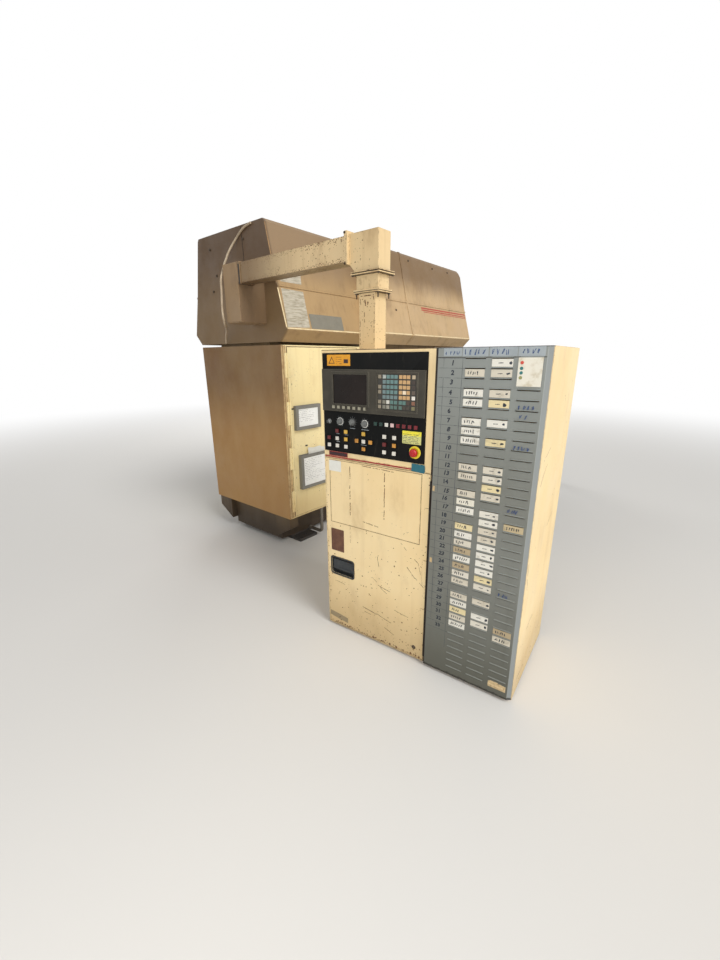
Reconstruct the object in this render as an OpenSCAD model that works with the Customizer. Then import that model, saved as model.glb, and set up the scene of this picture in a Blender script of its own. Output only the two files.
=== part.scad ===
// CNC turret punch press with its free-standing control console and overhead cable duct.
// Millimetres. +X runs along the press from the closed rear end to the punching head.
// +Y runs away from the console side, +Z up. The origin is the centre of the anchor bolts on the floor.

/* [Rear cabinet] */
// Width of the press body
body_w = 1020; // [960:10:1100]
// Length of the rear cabinet
cab_l = 1060; // [1000:10:1070]
// Height of the cabinet's bottom edge above the floor
cab_z0 = 280; // [240:5:320]
// Height of the cabinet's top edge
cab_z1 = 1606; // [1560:2:1610]
// Thickness of the sheet-metal covers
sheet = 3; // [2:0.5:5]
// Width of the cabinet's corner post
post_w = 55; // [40:1:70]
// Width of the cabinet's door
door_w = 772; // [700:4:780]
// Gap around a door in its frame
door_gap = 3; // [2:0.5:5]
// Depth of a door's folded edges
door_t = 22; // [18:1:30]

/* [Hoods] */
// Bottom edge of the hoods
hood_z0 = 1626; // [1616:2:1640]
// Height of the hoods' widest line
hood_z1 = 1704; // [1690:2:1730]
// Height of the joint between lower and upper hood sheets
hood_z2 = 2000; // [1960:5:2040]
// Top of the hoods
hood_z3 = 2410; // [2380:5:2450]
// How far the widest line stands out from the cabinet side
hood_bulge = 75; // [50:1:90]
// How far the joint line stands in from the cabinet side
hood_mid_in = 6; // [0:1:20]
// How far the top edge stands in from the cabinet side
hood_top_in = 101; // [80:1:120]
// Length of the narrower rear hood
rear_hood_l = 900; // [850:10:950]
// Far end of the head hood
head_x1 = 2540; // [2510:5:2600]
// How far the head hood is wider than the rear hood on each side
head_step = 150; // [120:5:170]
// Place of the cover strip on the head hood
strip_x = 1375; // [1250:5:1500]
// Width of the cover strip
strip_w = 26; // [16:1:50]
// Bevel at the head hood's top far corner
head_bevel = 55; // [30:5:80]

/* [Frame] */
// Rear face of the C frame
frame_x0 = 60; // [40:5:80]
// Front face of the C frame's jaws
frame_x1 = 2490; // [2450:5:2500]
// Height of the C frame's underside
frame_z0 = 40; // [30:5:60]
// Width of the C frame over its side plates
frame_w = 640; // [600:10:680]
// Thickness of the C frame's side plates
frame_plate = 60; // [40:5:80]
// Rear wall of the throat
throat_x = 1080; // [1075:5:1090]
// Top of the lower jaw
throat_z0 = 780; // [760:5:790]
// Underside of the upper jaw
throat_z1 = 1300; // [1290:5:1340]
// Corner radius of the throat
throat_r = 70; // [30:5:100]
// Depth of the blocks that carry the turret shafts
bridge_h = 120; // [90:5:150]

/* [Anchors] */
// Distance between the anchor bolts along X
anchor_dx = 2000; // [1900:10:2100]
// Radius of the anchor bolt holes
anchor_r = 11; // [8:0.5:14]
// How far the anchor holes stand out from the frame's side plates
anchor_out = 60; // [45:5:80]
// Width of a foot along X
foot_w = 200; // [150:10:260]
// Thickness of a foot's flange
foot_t = 25; // [18:1:28]

/* [Turrets] */
// Number of tool stations
stations = 33; // [24:1:36]
// Radius of the station circle
station_r = 440; // [420:5:450]
// Radius of both turret discs
disc_r = 510; // [500:5:515]
// Turret axis along X
turret_x = 1620; // [1610:1:1630]
// Top of the lower turret
lower_top = 925; // [915:1:930]
// Thickness of the lower turret
lower_h = 95; // [80:1:100]
// Underside of the upper turret
upper_bottom = 985; // [980:1:990]
// Thickness of the upper turret
upper_h = 120; // [100:1:130]
// Radius of the turret shafts
shaft_r = 60; // [45:1:70]
// Radius of the large stations
big_r = 26; // [20:0.5:30]
// Radius of the small stations
small_r = 16; // [12:0.5:18]
// Radial running clearance of shafts in bores
run_gap = 0.05; // [0.02:0.01:0.08]
// Gap between faces that seat or slide on each other
seat_gap = 0.3; // [0.1:0.05:0.4]

/* [Ram] */
// Radius of the ram
ram_r = 50; // [40:1:55]
// Underside of the ram at the top of its stroke
ram_z0 = 1200; // [1195:1:1205]
// Outer radius of the ram cylinder
cylinder_r = 120; // [100:5:130]
// Height of the ram cylinder above the jaw block
cylinder_h = 420; // [380:10:460]

/* [Table] */
// Height of the table's top
table_z = 940; // [936:1:942]
// Thickness of the table's plate
table_t = 22; // [16:1:28]
// Half width of the table
table_hw = 1480; // [1400:10:1500]
// Near end of the table
table_x0 = 1130; // [1100:5:1150]
// Far end of the table
table_x1 = 3490; // [3450:10:3520]
// Side of a table leg's square tube
leg_w = 80; // [60:5:100]
// Width of a guide rail at the table's side
rail_w = 40; // [30:2:50]
// Height of a guide rail
rail_h = 50; // [40:2:60]

/* [Cross beam] */
// Rear face of the cross beam at rest
beam_x = 3300; // [3280:5:3320]
// Width of the cross beam along X
beam_w = 180; // [150:5:185]
// Underside of the cross beam
beam_z0 = 985; // [980:1:1000]
// Height of the cross beam
beam_h = 180; // [150:5:200]
// Wall of the cross beam
beam_wall = 8; // [6:1:12]
// Length of the carriage
carriage_l = 1400; // [1200:20:1500]
// Thickness of the carriage
carriage_t = 60; // [55:1:80]
// Distance of each work clamp from the machine's middle
clamp_y = 450; // [300:10:500]
// Width of a work clamp
clamp_w = 90; // [80:2:110]
// Length of a work clamp
clamp_l = 160; // [150:2:180]
// Thickest sheet that the closed clamps leave room for
sheet_max = 6; // [3:0.5:6]

/* [Console] */
// Front left corner of the console along X
con_x = -476; // [-500:2:-450]
// Front left corner of the console along Y
con_y = -877; // [-890:1:-872]
// How far the console is turned on the floor
con_turn = 4.8; // [4:0.2:6]
// Width of the cream part of the console's front
cream_w = 618; // [612:1:640]
// Width of the louvred part
louvre_w = 440; // [436:1:470]
// Depth of the console
con_d = 575; // [500:5:650]
// Height of the console
con_h = 1552; // [1550:1:1600]
// Height of the recessed plinth
plinth_h = 14; // [12:1:30]
// How far the plinth stands back
plinth_in = 22; // [10:1:40]

/* [Console door] */
// How far the operator panel's lower edge lies above the lower door
door_panel_gap = 41; // [39:1:45]
// Left edge of the flush latch
latch_x = 24; // [20:1:60]
// Lower edge of the flush latch
latch_z = 341; // [250:1:380]
// Width of the flush latch
latch_w = 162; // [120:1:180]
// Height of the flush latch
latch_h = 112; // [100:1:160]
// Depth of the flush latch's cup
latch_d = 26; // [22:1:40]

/* [Operator panel] */
// Left edge of the operator panel
panel_x0 = 7; // [6:1:12]
// Right edge of the operator panel
panel_x1 = 578; // [572:1:582]
// Height of the operator panel
panel_h = 482; // [478:1:486]
// How far the operator panel's upper edge lies below the console's top
panel_top_gap = 15; // [12:1:20]
// Thickness of the operator panel
panel_t = 4; // [3:0.5:6]
// Side of a square push button
button_w = 18; // [15:0.5:19]
// Width of the bezel around a push button
bezel_w = 3; // [2:0.5:3.5]
// How far a push button stands out of its bezel
button_out = 5; // [4:0.5:8]
// Travel of a push button
button_travel = 3; // [1:0.5:3.5]
// Radius of the rotary knobs
knob_r = 14; // [10:0.5:16]
// Radius of the emergency stop's mushroom head
stop_r = 19; // [15:0.5:21]
// Travel of the emergency stop
stop_travel = 6; // [3:0.5:7]

/* [Display unit] */
// How far the display unit's lower edge lies above the operator panel's
disp_up = 207; // [204:1:209]
// Height of the display unit
disp_h = 201; // [199:1:206]
// How far the display unit stands out of the panel
disp_t = 9; // [6:0.5:14]
// Width of the screen
screen_w = 198; // [180:1:202]
// Height of the screen
screen_h = 138; // [120:1:142]
// Side of a key on the key sheet
key_w = 16; // [12:0.5:17]
// Distance between rows of keys
key_pitch = 22.2; // [20:0.1:22.4]

/* [Louvred panel] */
// Number of louvre rows
louvre_rows = 39; // [30:1:39]
// Distance between louvre rows
louvre_pitch = 38.1; // [34:0.1:38.3]
// How far the first louvre row lies below the console's top
louvre_drop = 44; // [40:1:52]
// Length of a louvre
louvre_len = 80; // [70:1:84]
// Distance between louvre columns
louvre_dx = 103.5; // [100:0.5:104]
// Open height of a louvre's slot
louvre_slot = 5; // [4:0.5:7]
// How far a louvre's lip stands out
louvre_lip = 3.5; // [2:0.5:5]
// How far the louvred panel stands out of the console's front
louvre_out = 14; // [10:1:18]
// Width of the slanted edge at the louvred panel's right side
louvre_edge = 17; // [12:1:24]

/* [Cable duct] */
// Rear face of the duct along X
duct_x = -205; // [-212:1:-198]
// Depth of the duct along X
duct_d = 101; // [90:1:110]
// Underside of the arm
arm_z0 = 1991; // [1975:1:2000]
// Height of the arm's section
arm_h = 121; // [100:1:122]
// Far end of the arm at the elbow's flange
arm_y0 = -819; // [-825:1:-812]
// Width of the riser along Y
riser_w = 148; // [120:1:150]
// Outer side of the riser along Y
riser_y0 = -1017; // [-1022:1:-1012]
// Underside of the elbow
elbow_z0 = 1935; // [1925:1:1945]
// Height of the elbow box
elbow_h = 180; // [180:1:200]
// Top of the riser
riser_z1 = 1840; // [1820:1:1850]
// How far the riser's sides stand in from the elbow's along Y
riser_inset = 22; // [10:1:30]
// How far the riser stands in from the elbow along X
riser_step = 3; // [1:1:8]
// How far the duct flanges stand out
flange_out = 22; // [15:1:26]
// How far the collar's upper flanges stand out
collar_out = 18; // [12:1:24]
// How far the collar's lower flange stands out
collar_low_out = 9; // [7:1:16]
// Thickness of a duct flange
flange_t = 17; // [10:1:17]
// Wall of the ducts
duct_wall = 3; // [2:0.5:5]
// Near side of the junction box along Y
jbox_y0 = 130; // [125:1:140]
// Width of the junction box
jbox_w = 172; // [160:1:230]
// Underside of the junction box
jbox_z0 = 1750; // [1720:5:1800]
// Top of the junction box
jbox_z1 = 2120; // [2118:1:2140]

/* [Hidden] */
$fn = 48;
EPS = 0.01;
CREAM = [0.86, 0.74, 0.55];
DARK = [0.12, 0.12, 0.12];
GREY = [0.45, 0.48, 0.49];
STEEL = [0.62, 0.63, 0.65];
mid_y = body_w / 2;
con_w = cream_w + louvre_w;
anchor_y = frame_w / 2 + anchor_out;
anchor_mid_x = 1270;
frame_z1 = hood_z3 - sheet;
frame_y0 = mid_y - frame_w / 2;
frame_y1 = mid_y + frame_w / 2;
punch_x = turret_x + station_r;
upper_top = upper_bottom + upper_h;
lower_bottom = lower_top - lower_h;
head_top = upper_top + 60;
die_top = table_z + 6;
bridge_x0 = turret_x - 180;
bridge_x1 = punch_x + 140;

panel_z1 = con_h - panel_top_gap;
panel_z0 = panel_z1 - panel_h;
con_door_z1 = panel_z0 - door_panel_gap;
disp_z0 = panel_z0 + disp_up;
disp_z1 = disp_z0 + disp_h;

// Console places: s across the front from its left edge, z up from the operator panel's lower edge.
function on_panel(p) = [p[0], panel_z0 + p[1]];
STOP_AT = on_panel([530, 50]);
KEY_AT = on_panel([43, 153]);
KNOBS = [for (p = [[111, 157], [186, 159], [258, 156]]) on_panel(p)];
// Push buttons: left block, cross and right block, read row by row.
BUTTONS = [for (p = [
    [93, 108], [147, 108],
    [41, 70], [93, 70], [147, 70],
    [41, 33], [93, 33], [147, 33],
    [253, 107], [213, 70], [253, 70], [293, 70], [253, 33],
    [371, 106], [424, 106], [371, 69], [424, 69], [371, 32], [424, 32]
]) on_panel(p)];
LAMP_X0 = 319;
LAMP_DX = 30.2;
LAMP_Z = panel_z0 + 162;
LAMPS = 8;
SCREEN_X0 = 79;
SCREEN_Z0 = disp_z0 + 39;
// Key columns from the left; the first and last stand apart.
KEY_COLUMNS = [347, 371, 391, 411, 431, 455, 474, 493, 519];
KEY_ROWS = 7;
KEY_Z0 = disp_z0 + 38;
// Rows of the louvred panel that hold a label strip, one list for each column.
LABEL_ROWS = [
    [2, 4, 5, 7, 8, 9, 12, 13, 15, 16, 17, 19, 20, 21, 22, 23, 24, 25, 26, 28, 29, 30, 31, 32],
    [1, 2, 4, 5, 7, 9, 12, 13, 14, 15, 17, 18, 19, 20, 21, 22, 23, 24, 25, 26, 28, 30, 31],
    [18, 31, 32]
];

// Shared shapes

module slab(p, q) {
    translate(p) cube([q[0] - p[0], q[1] - p[1], q[2] - p[2]]);
}

// A closed box of sheet: its walls lie inside the given corners.
module hollow_slab(p, q, w) {
    difference() {
        slab(p, q);
        slab([p[0] + w, p[1] + w, p[2] + w], [q[0] - w, q[1] - w, q[2] - w]);
    }
}

// A square with round corners, from exact squares and circles.
module rounded(w, h, r) {
    translate([r, 0]) square([w - 2 * r, h]);
    translate([0, r]) square([w, h - 2 * r]);
    for (x = [r, w - r], y = [r, h - r]) translate([x, y]) circle(r);
}

// Turns a 2D outline drawn in X and Z into a plate that runs from y to y + t.
module plate_xz(y, t) {
    translate([0, y + t, 0]) rotate([90, 0, 0]) linear_extrude(t) children();
}

// Turns a 2D outline drawn in Y and Z into a bar that runs from x0 to x1.
module bar_yz(x0, x1) {
    translate([x0, 0, 0]) rotate([90, 0, 90]) linear_extrude(x1 - x0) children();
}

function arc(cx, cz, r, a0, a1, n = 8) =
    [for (i = [0:n]) let (a = a0 + (a1 - a0) * i / n) [cx + r * cos(a), cz + r * sin(a)]];

// Puts the whole part's origin at the centre of the anchor bolts.
module placed() {
    translate([-anchor_mid_x, -mid_y, 0]) children();
}

// Console frame: X across its front from the left edge, Y into it, Z up.
module on_console() {
    placed() translate([con_x, con_y, 0]) rotate([0, 0, con_turn - 90]) children();
}

// Knuckles of a hinge around a pin; side 0 takes the even ones with the pin, side 1 the odd ones.
module knuckles(x, y, z0, z1, side, count = 7, r = 7, pin_r = 3) {
    pitch = (z1 - z0) / count;
    for (i = [0:count - 1]) if (i % 2 == side) {
        translate([x, y, z0 + i * pitch + seat_gap]) difference() {
            cylinder(r = r, h = pitch - 2 * seat_gap);
            if (side == 1) translate([0, 0, -1]) cylinder(r = pin_r + run_gap, h = pitch + 2);
        }
    }
    if (side == 0) translate([x, y, z0 + seat_gap]) cylinder(r = pin_r, h = z1 - z0 - 2 * seat_gap);
}

// Leaf that ties every second knuckle to its door or post.
module leaves(x0, x1, y0, y1, z0, z1, side, count = 7) {
    pitch = (z1 - z0) / count;
    for (i = [0:count - 1]) if (i % 2 == side)
        slab([x0, y0, z0 + i * pitch + seat_gap], [x1, y1, z0 + (i + 1) * pitch - seat_gap]);
}

// Hoods

// Cross-section of a hood: out widens it on both sides, w moves every face inwards.
function half_hood(out, w) = [
    [-out + w, hood_z0 - (w > 0 ? 1 : 0)],
    [-out - hood_bulge + w * 1.45, hood_z1 + (w > 0 ? 0 : w * 0.3)],
    [-out - hood_bulge + w * 1.05 + 2, hood_z1 + 12],
    [-out + hood_mid_in + w * 1.05, hood_z2],
    [-out + hood_top_in - 6 + w * 1.05, hood_z3 - 20],
    [-out + hood_top_in + 8 + w * 0.6, hood_z3 - w]
];
function mirror_y(points) = [for (i = [len(points) - 1:-1:0]) [body_w - points[i][0], points[i][1]]];
function hood_outline(out, w) = concat(half_hood(out, w), mirror_y(half_hood(out, w)));

module hood_bar(x0, x1, out, w) {
    bar_yz(x0, x1) polygon(hood_outline(out, w));
}

// Side view of the head hood with its bevelled top far corner.
module head_side(x0, x1, w) {
    plate_xz(-500, body_w + 1000) polygon([
        [x0, hood_z0 - 2], [x1 - w, hood_z0 - 2], [x1 - w, hood_z3 - head_bevel - w * 0.4],
        [x1 - head_bevel - w * 0.4, hood_z3 + 1 - w], [x0, hood_z3 + 1 - w]
    ]);
}

// Bead along the joint of the lower and upper hood sheets, on both sides.
module hood_bead(x0, x1, out) {
    for (m = [0, 1]) translate([0, m * body_w, 0]) mirror([0, m, 0]) bar_yz(x0, x1) polygon([
        [-out + hood_mid_in + 1, hood_z2 - 16], [-out + hood_mid_in - 9, hood_z2 - 14],
        [-out + hood_mid_in - 7, hood_z2], [-out + hood_mid_in + 1, hood_z2]
    ]);
}

module rear_hood() {
    color(CREAM) placed() {
        difference() {
            hood_bar(0, rear_hood_l, 0, 0);
            hood_bar(sheet, rear_hood_l + 1, 0, sheet);
            cable_window();
        }
        hood_bead(0, rear_hood_l, 0);
    }
}

// Way for the cables from the junction box into the hood.
module cable_window() {
    slab([-duct_wall - 1, jbox_y0 + 30, jbox_z0 + 60], [sheet + 1, jbox_y0 + jbox_w - 30, jbox_z1 - 40]);
}

module head_hood() {
    color(CREAM) placed() {
        difference() {
            intersection() {
                hood_bar(rear_hood_l, head_x1, head_step, 0);
                head_side(rear_hood_l, head_x1, 0);
            }
            intersection() {
                hood_bar(rear_hood_l + sheet, head_x1, head_step, sheet);
                head_side(rear_hood_l, head_x1, sheet);
            }
            hood_bar(rear_hood_l - 1, rear_hood_l + sheet + 1, 0, sheet);
        }
        difference() {
            hood_bar(strip_x - strip_w / 2, strip_x + strip_w / 2, head_step, -4);
            hood_bar(strip_x - strip_w, strip_x + strip_w, head_step, 0.5);
        }
        hood_bead(rear_hood_l, head_x1, head_step);
    }
}

// Frame and feet

module frame_outline() {
    polygon(concat(
        [[frame_x0, frame_z0], [frame_x1 - 60, frame_z0], [frame_x1, frame_z0 + 160], [frame_x1, throat_z0]],
        arc(throat_x + throat_r, throat_z0 + throat_r, throat_r, 270, 180),
        arc(throat_x + throat_r, throat_z1 - throat_r, throat_r, 180, 90),
        [[frame_x1 - 60, throat_z1], [frame_x1, throat_z1 + 100], [frame_x1, frame_z1 - 130],
            [frame_x1 - 130, frame_z1], [frame_x0, frame_z1]]));
}

module frame_web(p, q) {
    slab([p[0], frame_y0 + frame_plate - 1, p[1]], [q[0], frame_y1 - frame_plate + 1, q[1]]);
}

module c_frame() {
    color(CREAM) placed() difference() {
        union() {
            for (y = [frame_y0, frame_y1 - frame_plate]) plate_xz(y, frame_plate) frame_outline();
            frame_web([frame_x0, frame_z0], [frame_x0 + 40, frame_z1]);
            frame_web([frame_x0, frame_z1 - 40], [frame_x1 - 130, frame_z1]);
            frame_web([frame_x0, frame_z0], [frame_x1 - 60, frame_z0 + 40]);
            frame_web([throat_x - 45, throat_z0 - bridge_h], [throat_x - 5, throat_z1 + bridge_h]);
            frame_web([frame_x1 - 40, frame_z0 + 160], [frame_x1, throat_z0]);
            frame_web([frame_x1 - 40, throat_z1 + 100], [frame_x1, frame_z1 - 130]);
            frame_web([bridge_x0, throat_z1], [bridge_x1, throat_z1 + bridge_h]);
            frame_web([bridge_x0, throat_z0 - bridge_h], [bridge_x1, throat_z0]);
            // Outriggers that carry the cabinet's floor
            for (x = [8, cab_l - 110], m = [0, 1])
                translate([0, m * body_w, 0]) mirror([0, m, 0]) bar_yz(x, x + 90)
                    polygon([[20, cab_z0], [20, cab_z0 - 90], [frame_y0 + 1, cab_z0 - 190], [frame_y0 + 1,
                        cab_z0]]);
        }
        translate([turret_x, mid_y, throat_z1 - 1]) cylinder(r = shaft_r + run_gap, h = bridge_h + 2);
        translate([turret_x, mid_y, throat_z0 - bridge_h - 1]) cylinder(r = shaft_r + run_gap,
            h = bridge_h + 2);
        translate([punch_x, mid_y, throat_z1 - 1]) cylinder(r = ram_r + run_gap, h = bridge_h + 2);
    }
}

module levelling_feet() {
    color(DARK) placed() for (x = [-1, 1], m = [0, 1])
        translate([anchor_mid_x + x * anchor_dx / 2, mid_y, 0]) mirror([0, m, 0]) difference() {
            union() {
                slab([-foot_w / 2, frame_w / 2 - frame_plate, 0], [foot_w / 2, frame_w / 2, frame_z0]);
                slab([-foot_w / 2, frame_w / 2 - frame_plate, 0], [foot_w / 2, anchor_y + 45, foot_t]);
            }
            translate([0, anchor_y, -1]) cylinder(r = anchor_r, h = foot_t + 2);
        }
}

// Rear cabinet and its door

door_x0 = post_w + door_gap;
door_x1 = door_x0 + door_w;
door_z0 = cab_z0 + 14;
door_z1 = cab_z1 - 14;
cab_hinge_x = post_w + door_gap / 2;
cab_hinge_y = -7;

module rear_cabinet() {
    color(CREAM) placed() {
        difference() {
            hollow_slab([0, 0, cab_z0], [cab_l, body_w, cab_z1], sheet);
            // Way through for the C frame
            slab([frame_x0 - 5, frame_y0 - 5, cab_z0 - 1], [cab_l + 1, frame_y1 + 5, cab_z1 + 1]);
            // Doorway
            slab([post_w, -1, door_z0 - door_gap], [door_x1 + door_gap, sheet + 1, door_z1 + door_gap]);
        }
        // Folded returns around the doorway
        slab([post_w - 3, 0.5, door_z0 - door_gap], [post_w, 40, door_z1 + door_gap]);
        slab([door_x1 + door_gap, 0.5, door_z0 - door_gap], [door_x1 + door_gap + 3, 40, door_z1 + door_gap]);
        knuckles(cab_hinge_x, cab_hinge_y, door_z0 + 40, door_z1 - 40, 0);
        leaves(post_w - 26, cab_hinge_x, -4, 0.5, door_z0 + 40, door_z1 - 40, 0);
    }
}

module cabinet_door() {
    color(CREAM) placed() difference() {
        union() {
            slab([door_x0, 0, door_z0], [door_x1, door_t, door_z1]);
            knuckles(cab_hinge_x, cab_hinge_y, door_z0 + 40, door_z1 - 40, 1);
            difference() {
                leaves(cab_hinge_x, door_x0 + 24, -4, 0.5, door_z0 + 40, door_z1 - 40, 1);
                translate([cab_hinge_x, cab_hinge_y, door_z0]) cylinder(r = 3 + run_gap,
                    h = door_z1 - door_z0);
            }
            // Pull handle at the free edge
            translate([door_x1 - 50, 0.5, 960]) rotate([90, 0, 0]) cylinder(r = 7, h = 32);
            translate([door_x1 - 50, 0.5, 1080]) rotate([90, 0, 0]) cylinder(r = 7, h = 32);
            translate([door_x1 - 50, -32, 945]) cylinder(r = 8, h = 150);
        }
        slab([door_x0 + sheet, sheet, door_z0 + sheet], [door_x1 - sheet, door_t + 1, door_z1 - sheet]);
    }
}

// A sheet-metal pocket with a window in its front and an open top.
module pocket(x, z, w, h, d) {
    translate([x, -d, z]) difference() {
        cube([w, d, h]);
        translate([3, 4, 3]) cube([w - 6, d - 7, h]);
        translate([28, -1, 26]) cube([w - 56, 8, h - 52]);
    }
}

module document_boxes() {
    color(GREY) placed() {
        pocket(90, 985, 260, 185, 28);
        pocket(118, 508, 312, 277, 32);
    }
}

// Pipe from the cabinet floor down and across to the C frame.
module air_pipe() {
    color(GREY) placed() {
        translate([386, 40, 74]) cylinder(r = 14, h = cab_z0 - 74);
        // Elbow: a quarter of a ring
        intersection() {
            translate([386, 74, 74]) rotate([0, 90, 0]) rotate_extrude() translate([34, 0]) circle(14);
            slab([364, 20, 20], [408, 74, 74]);
        }
        translate([386, 74, 40]) rotate([-90, 0, 0]) cylinder(r = 14, h = frame_y0 - 74);
        translate([386, 40, cab_z0 - 14]) cylinder(r = 22, h = 14);
        translate([386, frame_y0 - 12, 40]) rotate([-90, 0, 0]) cylinder(r = 20, h = 12);
    }
}

// Cable duct

module junction_box() {
    color(CREAM) placed() {
        difference() {
            hollow_slab([duct_x - 5, jbox_y0, jbox_z0], [0, jbox_y0 + jbox_w, jbox_z1], duct_wall);
            slab([duct_x + duct_wall, jbox_y0 - 1, arm_z0 + duct_wall],
                [duct_x + duct_d - duct_wall, jbox_y0 + duct_wall + 1, arm_z0 + arm_h - duct_wall]);
            cable_window();
        }
        // Lid with a folded rim
        slab([duct_x - 8, jbox_y0 + 6, jbox_z0 + 6], [duct_x - 4.5, jbox_y0 + jbox_w - 6, jbox_z1 - 6]);
    }
}

module flange_xz(y, t, z0, z1, out) {
    slab([duct_x - out, y, z0 - out], [duct_x + duct_d + out, y + t, z1 + out]);
}

module cable_arm() {
    color(CREAM) placed() difference() {
        union() {
            slab([duct_x, arm_y0, arm_z0], [duct_x + duct_d, jbox_y0, arm_z0 + arm_h]);
            flange_xz(arm_y0, flange_t * 0.6, arm_z0, arm_z0 + arm_h, flange_out * 0.8);
            flange_xz(jbox_y0 - 20, 20, arm_z0, arm_z0 + arm_h, 7);
        }
        slab([duct_x + duct_wall, arm_y0 - 1, arm_z0 + duct_wall],
            [duct_x + duct_d - duct_wall, jbox_y0 + 1, arm_z0 + arm_h - duct_wall]);
    }
}

elbow_y0 = riser_y0;
elbow_y1 = arm_y0;

module duct_elbow() {
    color(CREAM) placed() difference() {
        union() {
            plate_yz_elbow(duct_x, duct_x + duct_d, 0);
            flange_xz(elbow_y1 - flange_t * 0.6, flange_t * 0.6, arm_z0, arm_z0 + arm_h, flange_out * 0.8);
        }
        plate_yz_elbow(duct_x + duct_wall, duct_x + duct_d - duct_wall, duct_wall);
        slab([duct_x + duct_wall, elbow_y1 - flange_t - 1, arm_z0 + duct_wall],
            [duct_x + duct_d - duct_wall, elbow_y1 + 1, arm_z0 + arm_h - duct_wall]);
        slab([duct_x + duct_wall, riser_y0 + duct_wall, elbow_z0 - 1],
            [duct_x + duct_d - duct_wall, riser_y0 + riser_w - duct_wall, elbow_z0 + duct_wall + 1]);
    }
}

// Elbow box with its lower inner corner cut off at an angle.
module plate_yz_elbow(x0, x1, w) {
    y1 = elbow_y1 - flange_t * 0.6 + EPS;
    bar_yz(x0, x1) polygon([
        [elbow_y0 + w, elbow_z0 + w], [riser_y0 + riser_w + 4 - w * 0.6, elbow_z0 + w],
        [y1 - w, elbow_z0 + 40 + w * 0.4], [y1 - w, elbow_z0 + elbow_h - w], [elbow_y0 + w,
            elbow_z0 + elbow_h - w]
    ]);
}

module flange_xy(z, out, t) {
    slab([duct_x - out, riser_y0 - out, z], [duct_x + duct_d + out, riser_y0 + riser_w + out, z + t]);
}

module duct_collar() {
    color(CREAM) placed() difference() {
        union() {
            // Two plates bolted together over a narrower packing
            flange_xy(elbow_z0 - flange_t, collar_out, flange_t * 0.42);
            flange_xy(elbow_z0 - flange_t, collar_out - 9, flange_t);
            flange_xy(elbow_z0 - flange_t * 0.3, collar_out - 1, flange_t * 0.3);
            flange_xy(riser_z1, collar_low_out, flange_t * 0.55);
            slab([duct_x + 4, riser_y0 + 4, riser_z1], [duct_x + duct_d - 4, riser_y0 + riser_w - 4,
                elbow_z0]);
        }
        slab([duct_x + 7, riser_y0 + 7, riser_z1 - 1], [duct_x + duct_d - 7, riser_y0 + riser_w - 7,
            elbow_z0 + 1]);
    }
}

// Upright block of the riser's section, grown outwards on all four sides.
module riser_slab(out, z0, z1) {
    slab([duct_x + riser_step - out, riser_y0 + riser_inset - out, z0],
        [duct_x + duct_d - riser_step + out, riser_y0 + riser_w - riser_inset + out, z1]);
}

module riser_duct() {
    color(CREAM) placed() difference() {
        union() {
            riser_slab(0, con_h, riser_z1);
            riser_slab(12, con_h, con_h + 8);
            flange_xy(riser_z1 - 8, 6, 8);
        }
        riser_slab(-duct_wall, con_h - 1, riser_z1 + 1);
    }
}

// Turrets, tools and ram

function tool_r(i) = i % 3 == 0 ? big_r : small_r;

module at_stations() {
    for (i = [0:stations - 1]) {
        $i = i;
        translate([turret_x, mid_y, 0]) rotate([0, 0, i * 360 / stations]) translate([station_r, 0,
            0]) children();
    }
}

module upper_turret() {
    color(STEEL) placed() difference() {
        union() {
            translate([turret_x, mid_y, upper_bottom]) cylinder(r = disc_r, h = upper_h, $fn = 128);
            translate([turret_x, mid_y, upper_top - EPS]) cylinder(r = 200, h = 40);
            translate([turret_x, mid_y, upper_top]) cylinder(r = shaft_r + 40,
                h = throat_z1 - seat_gap - upper_top);
            translate([turret_x, mid_y, upper_top]) cylinder(r = shaft_r,
                h = throat_z1 + bridge_h - upper_top);
        }
        translate([turret_x, mid_y, upper_bottom - 1]) cylinder(r = 260, h = 41);
        at_stations() translate([0, 0, upper_bottom - 1]) cylinder(r = tool_r($i) + run_gap,
            h = upper_h + 2, $fn = 24);
    }
}

module lower_turret() {
    color(STEEL) placed() difference() {
        union() {
            translate([turret_x, mid_y, lower_bottom]) cylinder(r = disc_r, h = lower_h, $fn = 128);
            translate([turret_x, mid_y, throat_z0 + seat_gap])
                cylinder(r = shaft_r + 60, h = lower_bottom - throat_z0 - seat_gap + EPS);
            translate([turret_x, mid_y, throat_z0 - bridge_h]) cylinder(r = shaft_r, h = bridge_h + 20);
        }
        at_stations() translate([0, 0, lower_bottom - 1]) cylinder(r = tool_r($i) * 0.7, h = lower_h + 2,
            $fn = 24);
        at_stations() translate([0, 0, lower_top - 25]) cylinder(r = tool_r($i) + 6 + run_gap, h = 26,
            $fn = 24);
    }
}

// One punch: guide, lifter ring, spring coil and head, turned about its own axis.
module punch(r) {
    rotate_extrude($fn = 24) polygon([
        [0, upper_bottom - 12], [r * 0.5, upper_bottom - 12], [r * 0.5, upper_bottom + 10], [r,
            upper_bottom + 14],
        [r, upper_top + seat_gap], [r + 7, upper_top + seat_gap], [r + 7, upper_top + 7], [r * 0.72,
            upper_top + 7],
        [r * 0.85, upper_top + 14], [r * 0.72, upper_top + 20], [r * 0.85, upper_top + 27], [r * 0.72,
            upper_top + 33],
        [r * 0.85, upper_top + 40], [r * 0.72, upper_top + 46], [r + 2, upper_top + 48], [r + 2,
            head_top - 3],
        [r - 1, head_top], [0, head_top]
    ]);
}

module punch_tools() {
    color(STEEL) placed() at_stations() punch(tool_r($i));
}

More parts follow.
